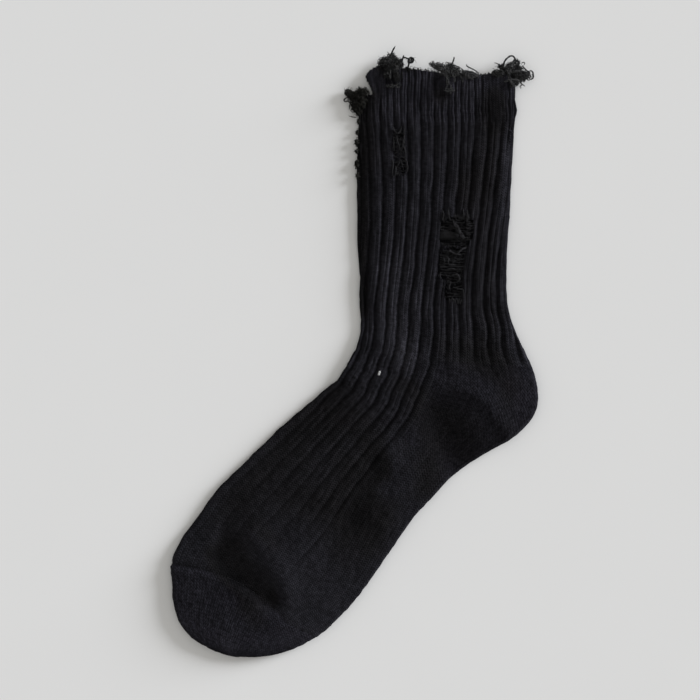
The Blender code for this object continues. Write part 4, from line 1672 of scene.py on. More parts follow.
# a tuft: name, node, finish, seed, loose hairs, mats, bundles and single hairs' routes
# a mat: x, y, z, reach along x, y and z, turn, strands, thickness, length, paleness
# a bundle: route, strands, spread, thickness, paleness
TUFTS = (
    Tuft("front_tuft", "fray_front", Yarn.DEEP, 11, 70, table(
        Matting,
        (24, 150.8, 3.9, 1.9, 2.8, 1.7, 8, 66, 0.34, 7, -0.15),
        (22.7, 149.4, 4.3, 1.4, 2, 1.1, 0, 26, 0.36, 6, -0.8),
        (20.4, 150.9, 3.8, 2.2, 1.7, 1, 0, 44, 0.34, 5, -0.5),
        (22.2, 152.2, 3.8, 2.4, 1.7, 1.2, -8, 44, 0.32, 5, 0.05),
        (16.8, 150.4, 3.8, 3.8, 2.2, 1.6, 10, 64, 0.36, 7, -0.5),
        (18.4, 153.2, 3.7, 5.6, 2, 1.3, 4, 140, 0.26, 5, 0.12),
        (14.6, 152.4, 3.4, 2.6, 1.6, 1.1, 20, 34, 0.28, 5, 0.25),
        (19.4, 154.8, 3.9, 2.3, 1.7, 0.9, 30, 50, 0.28, 4, 0.45),
        (29.4, 152.9, 4.4, 1.9, 1.3, 0.6, 0, 26, 0.26, 3.5, 0.45),
        (19, 147.4, 4.7, 3.6, 1.8, 1, 0, 26, 0.36, 6, -0.3),
        (22.6, 144.2, 5.5, 2, 3.4, 0.7, 0, 36, 0.42, 7, -0.8),
        (17, 145.2, 5.3, 1.4, 3, 0.7, 0, 16, 0.38, 6, -0.8),
        (20.2, 139, 5.9, 4.2, 1, 0.5, 5, 22, 0.36, 5, 0),
    ), table(
        Bundle,
        (((16.8, 139.4, 5.7), (18.6, 138.5, 6.1), (20.6, 138.9, 6.1)), 6, 0.45, 0.34, 0.3),
        (((21.4, 139.5, 5.9), (22.8, 140.3, 6.1), (24.4, 139.8, 5.8)), 6, 0.45, 0.34, 0.3),
        (((18.8, 147.8, 5.3), (19.1, 145.2, 5.9), (18.6, 142.6, 5.9)), 6, 0.45, 0.34, 0),
        (((24.8, 147, 5.3), (25.2, 145, 5.7), (24.9, 142.6, 5.7)), 3, 0.3, 0.34, -0.2),
        (((13.4, 151.6, 3.4), (15.4, 152.8, 3.8), (18.6, 153.6, 4), (21.6, 153, 4.2)), 7, 0.6, 0.3, 0.2),
        (((13, 149, 4.4), (12.2, 147.6, 4.8), (13, 146.4, 4.8)), 3, 0.3, 0.28, -0.3),
        (((17.6, 152.8, 4), (19, 155.4, 4.3), (20, 157.2, 4.3), (21.4, 160.2, 4.1)), 8, 0.16, 0.62, -0.3),
        (((28, 146.8, 4.4), (28.2, 149.2, 4.7), (28.6, 151, 4.7), (28.2, 153, 4.5)), 10, 0.26, 0.58, -0.2),
        (((26.6, 149.2, 4.4), (28.6, 148.6, 4.7), (30.6, 147.4, 4.5)), 5, 0.2, 0.4, -0.3),
        (((28.2, 151.6, 4.6), (28.4, 153.2, 4.7), (29.8, 154.1, 4.6), (31, 153.2, 4.5), (30.4, 151.7, 4.5),
          (28.7, 151.7, 4.6), (28.4, 153, 4.6)), 11, 0.34, 0.56, 0.4),
        (((24.8, 151.6, 4.2), (25.5, 153.8, 4.2), (25.8, 155.4, 4)), 6, 0.3, 0.5, 0.3),
        (((24.6, 153, 4.2), (26.2, 154.2, 4.3), (27.6, 153.8, 4.4), (29.4, 153.2, 4.5)), 6, 0.24, 0.44, 0.3),
    ), (
        ((13.6, 151.4, 3.4), (14.6, 153, 3.8), (16.8, 154, 4), (19, 154.6, 4)),
        ((28, 148.2, 4.6), (29.2, 147.4, 4.9), (31.4, 148, 4.4), (33.2, 147.4, 4.2)),
    )),
    Tuft("middle_tuft", "fray_middle", Yarn.FLUFF, 23, 80, table(
        Matting,
        (50.4, 146.6, 4.7, 5, 2.4, 1.3, -8, 90, 0.36, 7),
        (53.2, 146.9, 4.3, 2.6, 2.6, 1.1, -30, 60, 0.28, 6),
        (50.6, 149, 4.1, 2.8, 2.6, 1, 0, 70, 0.28, 5, 0.15),
        (46.8, 149.2, 4.1, 6.2, 2.3, 1, -10, 110, 0.25, 5, 0.1),
        (42.4, 150.2, 3.6, 3.6, 1.6, 0.9, -22, 56, 0.28, 5, 0.35),
        (61, 144.6, 4.9, 4.1, 1.6, 0.7, -4, 90, 0.34, 6, 0.35),
        (57.6, 146.2, 4.7, 2.6, 1.5, 0.8, -10, 50, 0.34, 6, 0),
        (50.4, 137, 5.3, 2.6, 1.3, 0.6, 0, 20, 0.34, 5),
    ), table(
        Bundle,
        (((39.9, 150.8, 3.2), (42.4, 148.9, 3.9), (45.4, 147.4, 4.6), (49, 146, 5.2), (52.6, 145.6, 5.2)),
         10, 0.75, 0.3),
        (((44.6, 145.4, 5.2), (47.2, 145, 6.1), (48.6, 142.9, 6.3), (48.8, 140.2, 6.1), (48.3, 138, 5.3)),
         14, 0.8, 0.34, 0.25),
        (((46.6, 137.4, 5.1), (48.1, 136.4, 5.8), (49.8, 136.9, 5.7), (48.6, 138, 5.2)), 6, 0.4, 0.34, 0.3),
        (((51.2, 144.8, 5.2), (52.4, 142.6, 5.5), (52, 140.6, 5.2)), 5, 0.5, 0.3),
        (((55, 145.2, 5.2), (56.4, 143.2, 5.4), (56.4, 140.8, 5.1)), 5, 0.5, 0.3),
        (((56, 146, 4.8), (58.4, 146.9, 4.9), (61.4, 146.6, 4.7), (64.4, 144.9, 4.7)), 12, 0.4, 0.34, -0.2),
        (((57.2, 144.2, 5.1), (60.2, 145.2, 5.4), (63, 145, 5.4), (65.6, 143.4, 5.1)), 9, 0.5, 0.36, 0.5),
        (((58.6, 151, 3.8), (59.5, 149.4, 4.2), (62.9, 147.7, 4.5), (65.8, 145.3, 4.7)), 4, 0.14, 0.42),
        (((50.4, 149.4, 4.2), (51.4, 151.4, 4.2), (52, 153.2, 4.1), (52.4, 154.8, 4)), 8, 0.2, 0.5, -0.1),
    ), (
        ((41.4, 150.2, 3.6), (41.8, 151.4, 3.7), (41.2, 152.4, 3.5)),
        ((48.2, 149.4, 4.1), (48.8, 151, 4.1), (48.2, 152.2, 3.9)),
        ((43, 149.4, 3.8), (43.4, 150.8, 3.8), (43.2, 152.2, 3.6)),
        ((45.4, 149, 3.9), (45.6, 150.2, 3.9), (45.9, 151.2, 3.6)),
        ((46.6, 148.2, 4), (47.2, 149.8, 4), (47.6, 151, 3.8)),
        ((49, 148.2, 4.2), (49.2, 149.6, 4.2), (49.8, 150.8, 3.8)),
        ((52.8, 150.2, 4.3), (54.4, 149, 4.4), (56.4, 148.2, 4.2), (57.2, 147, 4)),
    )),
    Tuft("back_tuft", "fray_back", Yarn.FLUFF, 37, 70, table(
        Matting,
        (76.6, 146.8, 4.4, 5.6, 2.4, 1.2, 22, 84, 0.38, 7),
        (81.4, 148.8, 4.1, 3.2, 3, 1.1, 50, 74, 0.34, 7),
        (84.8, 150.4, 3.8, 1.9, 3.6, 0.9, 6, 70, 0.3, 5),
        (85.6, 148.2, 3.9, 2.4, 1.8, 1, 0, 46, 0.34, 5, 0.3),
        (76.7, 149.8, 4, 1.6, 1.2, 0.9, 10, 30, 0.34, 4, -0.1),
        (86.8, 145, 4, 4.8, 2.3, 1.4, -4, 120, 0.38, 8, -0.22),
        (90, 145.2, 3.9, 2.2, 2, 1.2, 0, 56, 0.36, 6, -0.3),
        # painted shade: dark strands for the cushion's shaded underside
        (88.4, 143.3, 3.3, 3, 1.5, 0.9, 0, 46, 0.36, 6, -0.7),
        (83.2, 140.9, 4.1, 3, 2, 1.2, 18, 50, 0.38, 6),
    ), table(
        Bundle,
        (((75.4, 147.8, 4), (79, 149, 4.4), (82, 150.6, 4.4), (84.6, 152.8, 4)), 14, 0.8, 0.34, -0.2),
        (((77.4, 148.4, 4.2), (78.2, 150, 4.4), (78.8, 152, 4.1)), 5, 0.2, 0.4, -0.3),
        (((84.6, 153.8, 4), (86, 151.4, 4.2), (86.2, 149, 4.2), (85.2, 146.8, 4.4)), 8, 0.6, 0.3),
        (((84.6, 152, 4), (84, 154, 4), (82.6, 155.2, 3.9), (80.8, 154.6, 3.9), (79.2, 153.2, 3.8),
          (78.2, 151.4, 3.9), (77.6, 149.6, 4)), 9, 0.24, 0.5, -0.1),
        (((87.8, 150.2, 3.8), (88.8, 149, 3.8), (90, 147.8, 3.7), (91, 146.4, 3.6)), 5, 0.16, 0.5, -0.8),
        (((91.4, 147.4, 3.5), (92.8, 147.4, 3.4), (93.8, 145.6, 3.2), (93.4, 143.6, 3), (92, 143.2, 3.1),
          (91.2, 144.4, 3.4)), 7, 0.2, 0.42, 0.2),
        (((78.4, 141.2, 5.4), (80.8, 142.2, 5.8), (84, 142.4, 5.3), (87.2, 141.2, 4)), 9, 0.5, 0.36, 0.3),
        (((85, 142, 4.2), (87, 141.2, 3.8), (88.2, 140.2, 3.4), (89.4, 139.6, 3)), 4, 0.16, 0.42, -0.3),
        (((87.2, 150.2, 3.6), (88, 151.8, 3.6), (89.2, 151.6, 3.5), (88.6, 150.2, 3.5)), 3, 0.16, 0.32, 0.5),
        # painted highlight: pale strands along the top of the cushion
        (((81.4, 145.8, 4.8), (84.6, 146.9, 5), (88.2, 146.6, 4.6), (90.8, 145.2, 4)), 11, 0.5, 0.34, 0.3),
        (((88.4, 148.4, 3.6), (90.4, 147.4, 3.9), (91.9, 145.8, 3.7), (92.2, 143.6, 3.1)),
         7, 0.4, 0.32, -0.5),
        (((80.4, 148, 4.9), (80.6, 144.6, 5.6), (81.6, 141.6, 5.5), (84, 139.6, 4.4)), 13, 0.8, 0.34, 0.2),
    ), (
        ((83.2, 152.4, 4), (83.8, 154, 4), (82.8, 155.4, 3.9), (81.2, 154.8, 3.9), (79.4, 153, 3.8)),
        ((89, 148.4, 3.6), (90.6, 147.4, 3.8), (91.8, 145.8, 3.6), (92.8, 144.4, 3.2)),
        ((76, 150.2, 4), (74.4, 151, 4), (73.2, 151.8, 3.8)),
        ((86.6, 141.4, 3.8), (87.4, 140.2, 3.6), (86.8, 139.2, 3.2), (87.6, 138.4, 2.8)),
        ((93, 146, 3), (93.6, 144.6, 3), (93.2, 143, 2.6)),
    )),
    Tuft("shin_tuft", "fray_shin", Yarn.DULL, 41, 70, table(
        Matting,
        (-2.6, 136, 2.6, 2.3, 2.2, 1.4, 20, 60, 0.36, 5, 0.3),
        (4, 136.4, 2.9, 3.8, 2.3, 1.6, 6, 90, 0.36, 6, 0.1),
        (1.4, 134.4, 2.7, 5.2, 2.4, 1.6, 2, 90, 0.38, 7, -0.3),
        (1.4, 131.2, 2.4, 3.4, 3.7, 1.5, 14, 110, 0.36, 7, -0.35),
        (1.4, 128, 2.4, 2.5, 4.4, 1.4, 26, 110, 0.34, 6, -0.1),
        (4.2, 131.2, 3.3, 2.4, 3.2, 1.3, 0, 60, 0.36, 6, -0.8),
    ), table(
        Bundle,
        (((-4.4, 134.6, 2.2), (-3, 136.8, 3.2), (0, 136.2, 3.6), (3.6, 137.4, 3.8), (7, 136, 3.2)),
         8, 0.5, 0.3, 0.6),
        (((6, 136.8, 3), (7.4, 136.8, 3.1), (7.9, 135.6, 3), (7.2, 134.6, 2.8)), 6, 0.2, 0.44, -0.7),
        (((-3.2, 124.6, 1.8), (-1.4, 123.8, 1.9), (0.4, 123.4, 2), (2.4, 123.6, 2.2)), 3, 0.3, 0.3, 0.6),
        (((-1.8, 131, 2.4), (0, 128.6, 3), (1.6, 126.2, 3), (2.6, 124.2, 2.4)), 8, 0.5, 0.3, 0.4),
        (((-0.4, 133.8, 2.2), (-3.4, 133.8, 2.1), (-5.2, 132.6, 2), (-4.6, 131.6, 1.9), (-3, 131.9, 2),
          (-1.8, 130.4, 2.1), (-1.2, 129.2, 2.2)), 6, 0.16, 0.44, -0.2),
    ), (
        ((-1.8, 131, 2.2), (-2.4, 129.6, 2), (-2, 128.6, 1.8), (-2.8, 127.8, 1.6)),
        ((-0.6, 128.4, 2), (-1.4, 127.2, 1.9), (-0.8, 126, 1.8)),
    )),
)
FOLD_BUMPS = (
    # x, y, reach along x and y, in millimetres
    (1.5, 110.2, 1.0, 2.4), (1.5, 105.6, 0.9, 1.2), (1.6, 99.0, 1.0, 2.8),
    (1.9, 92.6, 0.8, 1.7), (2.3, 121.0, 0.5, 1.4), (1.8, 115.6, 0.7, 1.6),
)


@dataclass
class FrayedEdge:
    """All the frayed yarn of the cuff and the front fold."""

    form: SockForm

    def build(self) -> list[Piece]:
        """Build the four tufts, the loops along the raw edge and the frays of the front fold."""
        return [tuft.build() for tuft in TUFTS] + [self.edge_loops(), self.fold_frays()]

    def edge_loops(self) -> Piece:
        """Small open loops and yarn ends along the raw edge of both panels.

        Returns:
            The finished object.
        """
        chance = random.Random(SEEDS["raw_edge_loops"])
        edge = self.form.ring(0.0)
        strands = []
        wale = 1.0
        while wale < RIBS + 1.0:
            spot, _, up = self.form.surface(edge, wale)
            x, y, z = spot / MM
            wale += chance.uniform(0.16, 0.34)
            if inside_outline(NOTCH_OUTLINE, x, y) or abs(up) < 0.5:
                continue
            z -= 0.5 * up
            tall = chance.uniform(0.2, 1.1)
            half = chance.uniform(0.35, 0.6)
            strands.append(Strand(smooth_route((
                (x - half, y - 1.6, z), (x - half, y - 0.2, z + 0.2 * up),
                (x + chance.uniform(-0.2, 0.2), y + tall, z + 0.35 * up),
                (x + half, y - 0.2, z + 0.2 * up), (x + half, y - 1.6, z),
            ), 3), chance.uniform(0.4, 0.62), 0.7))
            if chance.random() < 0.3:
                strands.append(hair(
                    ((x, y, z), (x + chance.uniform(-0.6, 0.6), y + tall + 0.6, z),
                     (x + chance.uniform(-1.4, 1.4), y + tall + chance.uniform(0.6, 1.6), z)), 0.18, chance))
        return YarnWork("raw_edge_loops", Yarn.FLUFF, strands).build()

    def fold_frays(self) -> Piece:
        """Small frayed bumps and loops down the front fold.

        Returns:
            The finished object.
        """
        chance = random.Random(SEEDS["fold_frays"])
        strands = []
        for x, y, reach_x, reach_y in FOLD_BUMPS:
            fluff = Matting(x, y, 2.3, reach_x, reach_y, 1.4, 0.0, round(9 * reach_y), 0.45, 5.0)
            strands += fluff.lay(chance)
            for _ in range(3):
                turn = chance.uniform(-1.0, 1.0)
                strands.append(hair(
                    ((x, y + turn, 2.3), (x - reach_x, y + turn, 2.4),
                     (x - reach_x - chance.uniform(0.2, 0.9), y + 1.6 * turn, 2.0)), 0.2, chance))
        return YarnWork("fold_frays", Yarn.DULL, strands).build()


# ---- yarn across the holes

LEAST_LEVEL = 2.1  # millimetres above the floor that a rung stays, over the lower panel
RUNG_LAY = 3.4  # length of a full turn of a rung's plies, in thicknesses


@dataclass(frozen=True)
class Rungs:
    """Yarn of single courses left across a stretch of the ladder, in millimetres."""

    low: float
    high: float
    left: float
    right: float
    level: float
    kept: float
    thickness: float = 0.62
    spacing: float = 1.2
    sag: float = 0.9
    stray: float = 0.45
    paleness: float = 0.0

    def lay(self, chance: random.Random) -> list[Strand]:
        """The rungs, slack and uneven, with some gone and some broken off short.

        Args:
            chance: Seeded source of random numbers.

        Returns:
            The strands.
        """
        strands = []
        y = self.low
        while y < self.high:
            y += self.spacing * chance.uniform(0.75, 1.25)
            if chance.random() > self.kept:
                continue
            left, right = self.left, self.right
            if chance.random() < 0.25:
                left += chance.uniform(0.3, 0.6) * (right - left)
            elif chance.random() < 0.25:
                right -= chance.uniform(0.3, 0.6) * (right - left)
            corners = []
            for share in (0.0, 0.25, 0.5, 0.75, 1.0):
                dip = self.sag * 4.0 * share * (1.0 - share)
                corners.append((
                    left + (right - left) * share,
                    y + chance.uniform(-self.stray, self.stray) - 0.3 * dip,
                    max(self.level - dip + chance.uniform(-0.3, 0.3), LEAST_LEVEL),
                ))
            width = self.thickness * chance.uniform(0.75, 1.2)
            rung = Strand(smooth_route(corners, 5), width, 0.7, self.paleness).crimped(2.4, 0.16, chance)
            strands += rung.plies(2, RUNG_LAY * width)
        return strands


@dataclass(frozen=True)
class RibEnds:
    """Short open loops and broken ends of the wales along one end of a hole, in millimetres.

    The turn is 1 where the loops hang down the leg and -1 where they stand up it.
    """

    left: float
    right: float
    y: float
    z: float
    turn: float

    def lay(self, chance: random.Random) -> list[Strand]:
        """The loops and ends, from left to right.

        Args:
            chance: Seeded source of random numbers.

        Returns:
            The strands.
        """
        strands = []
        x = self.left
        while x < self.right:
            tall = chance.uniform(0.2, 1.5) * self.turn
            half = chance.uniform(0.25, 0.5)
            lean = chance.uniform(-0.5, 0.5)
            base = self.y + chance.uniform(-0.6, 0.6)
            root, low, high = base + 1.4 * self.turn, self.z - 0.2, self.z + 0.1
            corners = [(x - half, root, low), (x - half, base, high),
                       (x + lean, base - tall, self.z + chance.uniform(-0.5, 0.2))]
            if chance.random() < 0.6:
                corners += [(x + half, base, high), (x + half, root, low)]
            strands.append(Strand(smooth_route(corners, 4), chance.uniform(0.34, 0.6), 0.7))
            x += chance.uniform(0.6, 1.3)
        return strands


@dataclass(frozen=True)
class StrayHairs:
    """Fine hairs across a hole, in millimetres, each through three points at the stated levels."""

    count: int
    left: float
    right: float
    low: float
    high: float
    levels: Point
    sway: float
    end_sway: float
    thickest: float

    def lay(self, chance: random.Random) -> list[Strand]:
        """The hairs, strewn evenly.

        Args:
            chance: Seeded source of random numbers.

        Returns:
            The strands.
        """
        strands = []
        for _ in range(self.count):
            x, y = chance.uniform(self.left, self.right), chance.uniform(self.low, self.high)
            route = [(x, y, self.levels[0])]
            for sway, rise, level in ((self.sway, 1.2, self.levels[1]), (self.end_sway, 2.0, self.levels[2])):
                route.append((x + chance.uniform(-sway, sway), y + chance.uniform(-rise, rise), level))
            strands.append(hair(route, chance.uniform(0.12, self.thickest), chance))
        return strands


LADDER_RUNGS = table(
    Rungs,
    # low, high, left, right, level, kept, thickness, spacing, sag, stray, paleness
    # dense scraps at the top, a dark pocket below the bar, tangles, a second pocket, the narrow foot
    (63.8, 71.6, 44.6, 53.6, 4.5, 0.85, 0.66, 1.1),
    (58, 70.4, 53, 60.8, 4.3, 0.8, 0.58, 1.2),
    (55, 59, 55.6, 60.4, 3.9, 0.8, 0.55, 1.2),
    (54.8, 59, 45, 57, 3, 0.6, 0.5, 1.4, 0.4),
    (48.4, 55, 44.8, 58.6, 4.2, 0.85, 0.62, 1.1),
    (42.8, 48, 45, 58.6, 4.2, 0.85, 0.6, 1.15, 0.5, 0.2),
    (38.6, 42.6, 45.4, 58.4, 3.5, 0.6, 0.55, 1.3),
    (27.4, 40.2, 48.6, 58, 4.3, 0.88, 0.6, 1.1, 0.7),
    (30, 40, 45.6, 50.4, 4.1, 0.5, 0.55, 1.3, 0.4),
    (38.4, 70.6, 44.8, 59.6, 3, 0.85, 0.5, 1, 0.3, 0.5, -0.2),
    (58.4, 71, 58.6, 62.4, 4.5, 0.9, 0.6, 1.2, 0.3, 0.5, 0.1),
)
LADDER_BUNDLES = table(
    Bundle,
    # frayed diagonal from the upper left to the right border, and two smaller ones
    (((51.6, 70.2, 4.2), (52.8, 67.5, 5), (54.4, 63.9, 5.3), (56.4, 61.3, 5.3), (58.6, 59.4, 4.6)),
     11, 0.8, 0.42, 0.3),
    (((48.6, 52.5, 4.4), (50, 53.4, 5), (51.4, 52.4, 4.5)), 6, 0.4, 0.4, 0.5),
    (((45.3, 42.3, 4.4), (45, 40.6, 4.9), (45.4, 38.7, 4.4)), 5, 0.3, 0.4, 0.5),
    (((48.6, 45.9, 4.5), (51, 46.1, 4.9), (53.4, 45.8, 4.5)), 4, 0.22, 0.4, 0.5),
    (((48.4, 43.8, 4.3), (51, 44, 4.6), (53.4, 43.8, 4.3)), 4, 0.22, 0.4, 0.2),
    (((53, 50.9, 4.2), (54.4, 52.4, 4.8), (56.4, 54.2, 4.8), (59.6, 55.4, 4.2)), 5, 0.35, 0.4),
    (((49.8, 54.2, 4.2), (50.6, 53.2, 4.8), (52.4, 51.8, 4.6), (56.8, 51.2, 4.4)), 5, 0.35, 0.4),
    (((50.4, 40.2, 4.2), (52.4, 40.9, 4.8), (54.2, 40.6, 4.8), (55, 38.6, 4.6), (54, 37, 4)),
     7, 0.4, 0.4, 0.5),
    (((50.8, 37.6, 4.3), (50.2, 36.4, 4.8), (49.6, 34.4, 4.7), (50.2, 32.8, 4.2)), 5, 0.3, 0.38),
    (((52.4, 34.2, 4.6), (54.6, 33.6, 4.9), (56.9, 32.8, 4.9), (57.2, 30.6, 4.8), (56.8, 28.2, 4.4)),
     6, 0.3, 0.4),
    (((45.2, 35.8, 4.3), (45.6, 34.4, 4.8), (46.6, 34.6, 4.8), (46.4, 36, 4.4)), 4, 0.2, 0.36),
    (((47, 49.9, 4.3), (47.2, 48.4, 4.9), (47, 46.9, 4.3)), 6, 0.3, 0.4, 0.5),
    (((49.1, 50.1, 4.3), (49.3, 48.6, 4.9), (49.2, 46.9, 4.3)), 6, 0.3, 0.4, 0.5),
    (((45.8, 39.4, 3.8), (46.2, 37, 4.2), (46, 34, 3.8)), 4, 0.3, 0.3),
    # rib ends that curl into the hole from above
    (((46.2, 75, 4.9), (46.7, 72.4, 5.3), (46.3, 69.6, 5.1), (47.2, 68.4, 4.5)), 5, 0.3, 0.42),
    (((49.3, 76.6, 4.9), (49.2, 73.4, 5.4), (49.5, 70.4, 5.3), (50.3, 69.4, 4.6)), 6, 0.35, 0.42),
    (((57, 75.4, 4.9), (57.2, 72.6, 5.3), (56.9, 70.8, 5)), 5, 0.3, 0.4),
    (((59.2, 74.8, 4.9), (59, 72.2, 5.3), (59.6, 70.2, 4.8)), 5, 0.3, 0.4),
)
LADDER_ENDS = table(
    RibEnds,
    # ragged ends of the wales above and below, and loops beside the narrow foot
    (45.4, 60.4, 71, 4.5, 1), (50, 58, 27.4, 4.6, -1), (45.6, 49.4, 37.2, 4.5, -1),
)
LADDER_HAIRS = StrayHairs(90, 45.5, 58.5, 28, 71, (3.2, 4.2, 3.4), 1.8, 3, 0.24)
BAR_COURSES = (
    # offset up the leg and lift of each course of the rolled bar, in millimetres
    (-1.5, -0.1), (-0.95, 0.2), (-0.4, 0.35), (0.2, 0.4), (0.75, 0.35), (1.3, 0.15), (1.8, -0.1),
)
BAR_THICKNESS = 0.66  # millimetres, of one course
BAR_LAY = 3.2  # length of a full turn of its plies, in thicknesses
TEAR_BUNDLES = table(
    Bundle,
    (((20.4, 118.2, 4.6), (21, 116, 5.1), (22.5, 114.6, 5.3), (24, 115.6, 5.1), (24.6, 118.4, 4.6)),
     5, 0.28, 0.42),
    (((26.4, 119.4, 4.7), (26.3, 115.6, 5.2), (26.1, 111.6, 5.4), (25.4, 108.2, 5.4), (24.6, 105.2, 5.2),
      (23.9, 102.6, 4.8)), 6, 0.3, 0.42),
    (((22.6, 113.4, 4.5), (22.7, 110.6, 5.1), (23.4, 108.2, 5.3), (24, 105.8, 5.3)), 5, 0.28, 0.42),
    (((25.2, 109.4, 5.2), (26.4, 106.6, 5.4), (26.6, 103.6, 5.1)), 5, 0.3, 0.4),
    (((26.4, 101.6, 4.8), (27.3, 99.8, 5.2), (27.9, 97.2, 5.3), (28, 93.6, 4.9)), 5, 0.28, 0.42),
    (((22.2, 96.2, 4.6), (23.2, 98.6, 5.1), (24.1, 100.4, 5.1), (25, 98.4, 5.1), (25.8, 96, 4.6)),
     5, 0.25, 0.4),
    (((20.2, 101.6, 4.8), (20.3, 98, 5.1), (20.2, 94.4, 5.1), (20.8, 90.6, 4.9)), 5, 0.28, 0.42),
    (((21.8, 98, 4.8), (21.8, 95.6, 5.2), (21.6, 92.6, 4.9)), 4, 0.25, 0.4),
    (((20.6, 112.6, 4.7), (20.8, 109, 5), (20.6, 105, 4.8)), 4, 0.3, 0.38),
)
TEAR_RUNGS = table(
    Rungs,
    (104.6, 115.8, 20.4, 26.8, 4.5, 0.85, 0.56, 1.2, 0.5),
    (93, 103.6, 21.2, 27.6, 4.5, 0.85, 0.56, 1.2, 0.5),
)
TEAR_HAIRS = StrayHairs(40, 20.6, 27.5, 93, 116, (4, 5, 5.2), 1.2, 2, 0.22)


class Mending:
    """The yarn that is left across the ladder hole and the small tear."""

    def build(self) -> list[Piece]:
        """Build the yarn of the ladder hole and of the tear."""
        return [self.ladder(), self.tear()]

    @staticmethod
    def rolled_bar() -> list[Strand]:
        """The rolled bar of knit across the ladder's top third, its courses pulled together.

        Returns:
            The strands.
        """
        strands = []
        for offset, lift in BAR_COURSES:
            corners = (
                (44.2, 61.3 + offset, 3.5),
                (46.2, 61.5 + offset, 3.6 + lift),
                (49.4, 61.6 + offset, 3.7 + lift),
                (52.4, 61.2 + 0.9 * offset, 3.5 + lift),
                (54.6, 60.8 + 0.6 * offset, 3.1),
            )
            course = Strand(smooth_route(corners, 6), BAR_THICKNESS, 0.7, -0.7)
            strands += course.plies(2, BAR_LAY * BAR_THICKNESS)
        return strands

    def ladder(self) -> Piece:
        """Rungs, the rolled bar, the frayed diagonal and the curled rib ends of the ladder hole.

        Returns:
            The finished object.
        """
        chance = random.Random(SEEDS["ladder_yarn"])
        strands = laid(LADDER_RUNGS, chance) + self.rolled_bar()
        strands += laid((*LADDER_BUNDLES, *LADDER_ENDS, LADDER_HAIRS), chance)
        return YarnWork("ladder_yarn", Yarn.FRAYED, strands).build()

    def tear(self) -> Piece:
        """Pulled strands, crossed yarn and open loops of the small tear."""
        strands = laid((*TEAR_BUNDLES, *TEAR_RUNGS, TEAR_HAIRS), random.Random(SEEDS["tear_yarn"]))
        return YarnWork("tear_yarn", Yarn.FRAYED, strands).build()


@dataclass
class ToeSeam:
    """The linked seam between the foot and the toe, in millimetres: small stitches in a shallow groove."""

    form: SockForm
    stitch: float = 1.3
    thickness: float = 0.42
    sunk: float = 0.10
    sunk_below: float = 0.5
    end_drop: float = 0.25
    overlap: float = 0.62
    unevenness: float = 0.1

    def build(self) -> Piece:
        """Lay the stitches all round the seam.

        Returns:
            The finished object.
        """
        ring = self.form.ring(float(STATION["toe seam"]))
        chance = random.Random(SEEDS["toe_seam"])
        strands = []
        count = round(ring.around / (self.stitch * MM))
        for index in range(count):
            wale = 1.0 + RIBS * index / count
            spot, _, up = self.form.surface(ring, wale)
            beside, _, _ = self.form.surface(ring, wale + RIBS / count)
            along_seam = (beside - spot) * self.overlap
            out = UP * (1.0 if up > 0.0 else -1.0)
            lift = -self.sunk * MM if up > 0.0 else -self.sunk_below * MM
            lean = Vector([chance.uniform(-self.unevenness, self.unevenness) for _ in range(2)] + [0.0]) * MM
            strands.append(Strand([
                spot - along_seam + out * (lift - self.end_drop * MM),
                spot + lean + out * lift,
                spot + along_seam + out * (lift - self.end_drop * MM),
            ], self.thickness * chance.uniform(0.85, 1.15), 0.7))
        return YarnWork("toe_seam", Yarn.FRAYED, strands).build()


@dataclass
class Lint:
    """A scrap of pale lint caught on the instep, in millimetres and degrees."""

    shells: Sequence[Piece]
    x: float = 13.1
    y: float = -10.5
    length: float = 2.6
    breadth: float = 0.9
    lean: float = 68.0
    above: float = 0.15
    loft: float = 0.35
    fibres: int = 22
    fibre_thickness: float = 0.22
    fibre_length: float = 2.4

    def build(self) -> Piece:
        """Mat the lint's fibres on the cloth.

        Returns:
            The finished object.
        """
        level = cloth_height(self.shells, self.x, self.y) + self.above
        mat = Matting(self.x, self.y, level, self.length / 2.0, self.breadth / 2.0, self.loft, self.lean,
                      self.fibres, self.fibre_thickness, self.fibre_length)
        return YarnWork("lint", Yarn.LINT, mat.lay(random.Random(SEEDS["lint"]))).build()


# ---- studio

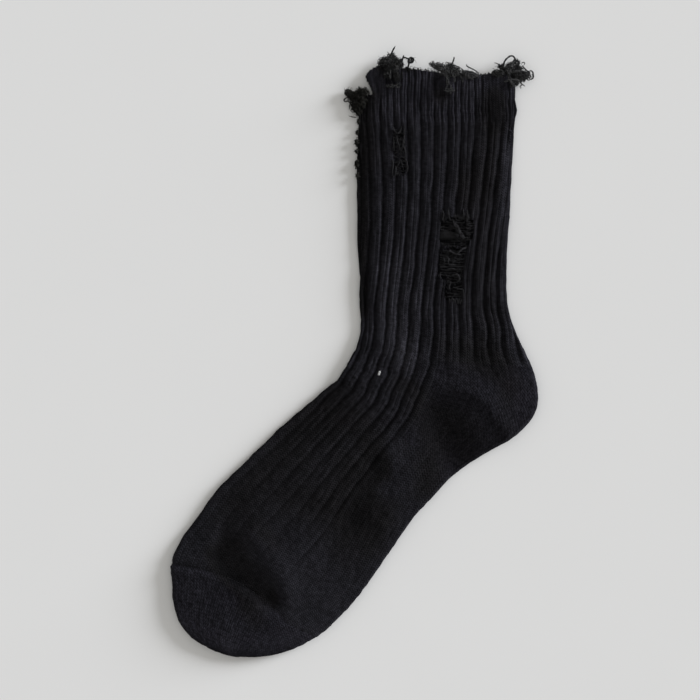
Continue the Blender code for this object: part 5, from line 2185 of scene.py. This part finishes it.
@dataclass
class Studio:
    """Plain pale floor, one low and soft light from the right, even ambient light and the camera."""

    floor_size: float = 3.0
    floor_colour: Colour = (0.80, 0.80, 0.795)
    light_azimuth: float = 24.0
    light_elevation: float = 13.0
    light_spread: float = 26.0
    light_strength: float = 5.1
    light_colour: Colour = (0.965, 0.985, 1.03)
    ambient: float = 0.51
    ambient_colour: Colour = (1.0, 0.987, 0.955)
    view_middle: tuple[float, float] = (-2.1 * MM, 1.6 * MM)
    view_width: float = 366.0 * MM
    view_height: float = 3.0 * MM
    lens: float = 75.0
    sensor: float = 36.0

    def build(self) -> None:
        """Add the floor, the light, the world and the camera."""
        self.add_floor()
        self.add_light()
        self.add_world()
        self.add_camera()
        bpy.context.scene.view_settings.view_transform = "Standard"

    def add_floor(self) -> None:
        """Add the floor plane and its plain pale finish."""
        bpy.ops.object.select_all(action="DESELECT")
        bpy.ops.mesh.primitive_plane_add(size=self.floor_size, location=(0.0, 0.0, 0.0))
        floor = bpy.context.object
        floor.name = "floor"
        material, shader, wiring = new_material("pale_floor")
        clouds = wiring.noise(wiring.add("ShaderNodeTexCoord").outputs["Object"], 18.0)
        darker = tuple(0.985 * part for part in self.floor_colour)
        colour = wiring.mix(clouds, darker, self.floor_colour)
        wiring.feed(shader, {"Base Color": colour, "Roughness": 0.95, "Specular IOR Level": 0.1})
        floor.data.materials.append(material)

    def add_light(self) -> None:
        """Add the low, soft light."""
        light = bpy.data.lights.new("window_light", "SUN")
        light.energy = self.light_strength
        light.angle = math.radians(self.light_spread)
        light.color = self.light_colour
        lamp = bpy.data.objects.new("window_light", light)
        azimuth, elevation = math.radians(self.light_azimuth), math.radians(self.light_elevation)
        towards = Vector((
            math.cos(azimuth) * math.cos(elevation),
            math.sin(azimuth) * math.cos(elevation),
            math.sin(elevation),
        ))
        lamp.location = towards
        lamp.rotation_euler = (-towards).to_track_quat("-Z", "Y").to_euler()
        bpy.context.scene.collection.objects.link(lamp)

    def add_world(self) -> None:
        """Add even ambient light."""
        world = bpy.data.worlds.new("soft_room")
        world.use_nodes = True
        backdrop = world.node_tree.nodes["Background"]
        backdrop.inputs["Color"].default_value = (*self.ambient_colour, 1.0)
        backdrop.inputs["Strength"].default_value = self.ambient
        bpy.context.scene.world = world

    def add_camera(self) -> None:
        """Add the camera straight above the sock."""
        camera_data = bpy.data.cameras.new("overhead")
        camera_data.lens = self.lens
        camera_data.sensor_width = self.sensor
        camera = bpy.data.objects.new("overhead", camera_data)
        distance = self.view_width * self.lens / self.sensor
        camera.location = (*self.view_middle, self.view_height + distance)
        bpy.context.scene.collection.objects.link(camera)
        bpy.context.scene.camera = camera


def main() -> None:
    """Load the frame, build the sock on it and light it."""
    logging.basicConfig(level=logging.INFO, format="%(message)s")
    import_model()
    Studio().build()
    form = SockForm()
    shells = Sock(form).build()
    loose = FrayedEdge(form).build() + Mending().build() + [ToeSeam(form).build(), Lint(shells).build()]
    LOG.info("%d shells and %d pieces of loose yarn", len(shells), len(loose))


if __name__ == "__main__":
    main()
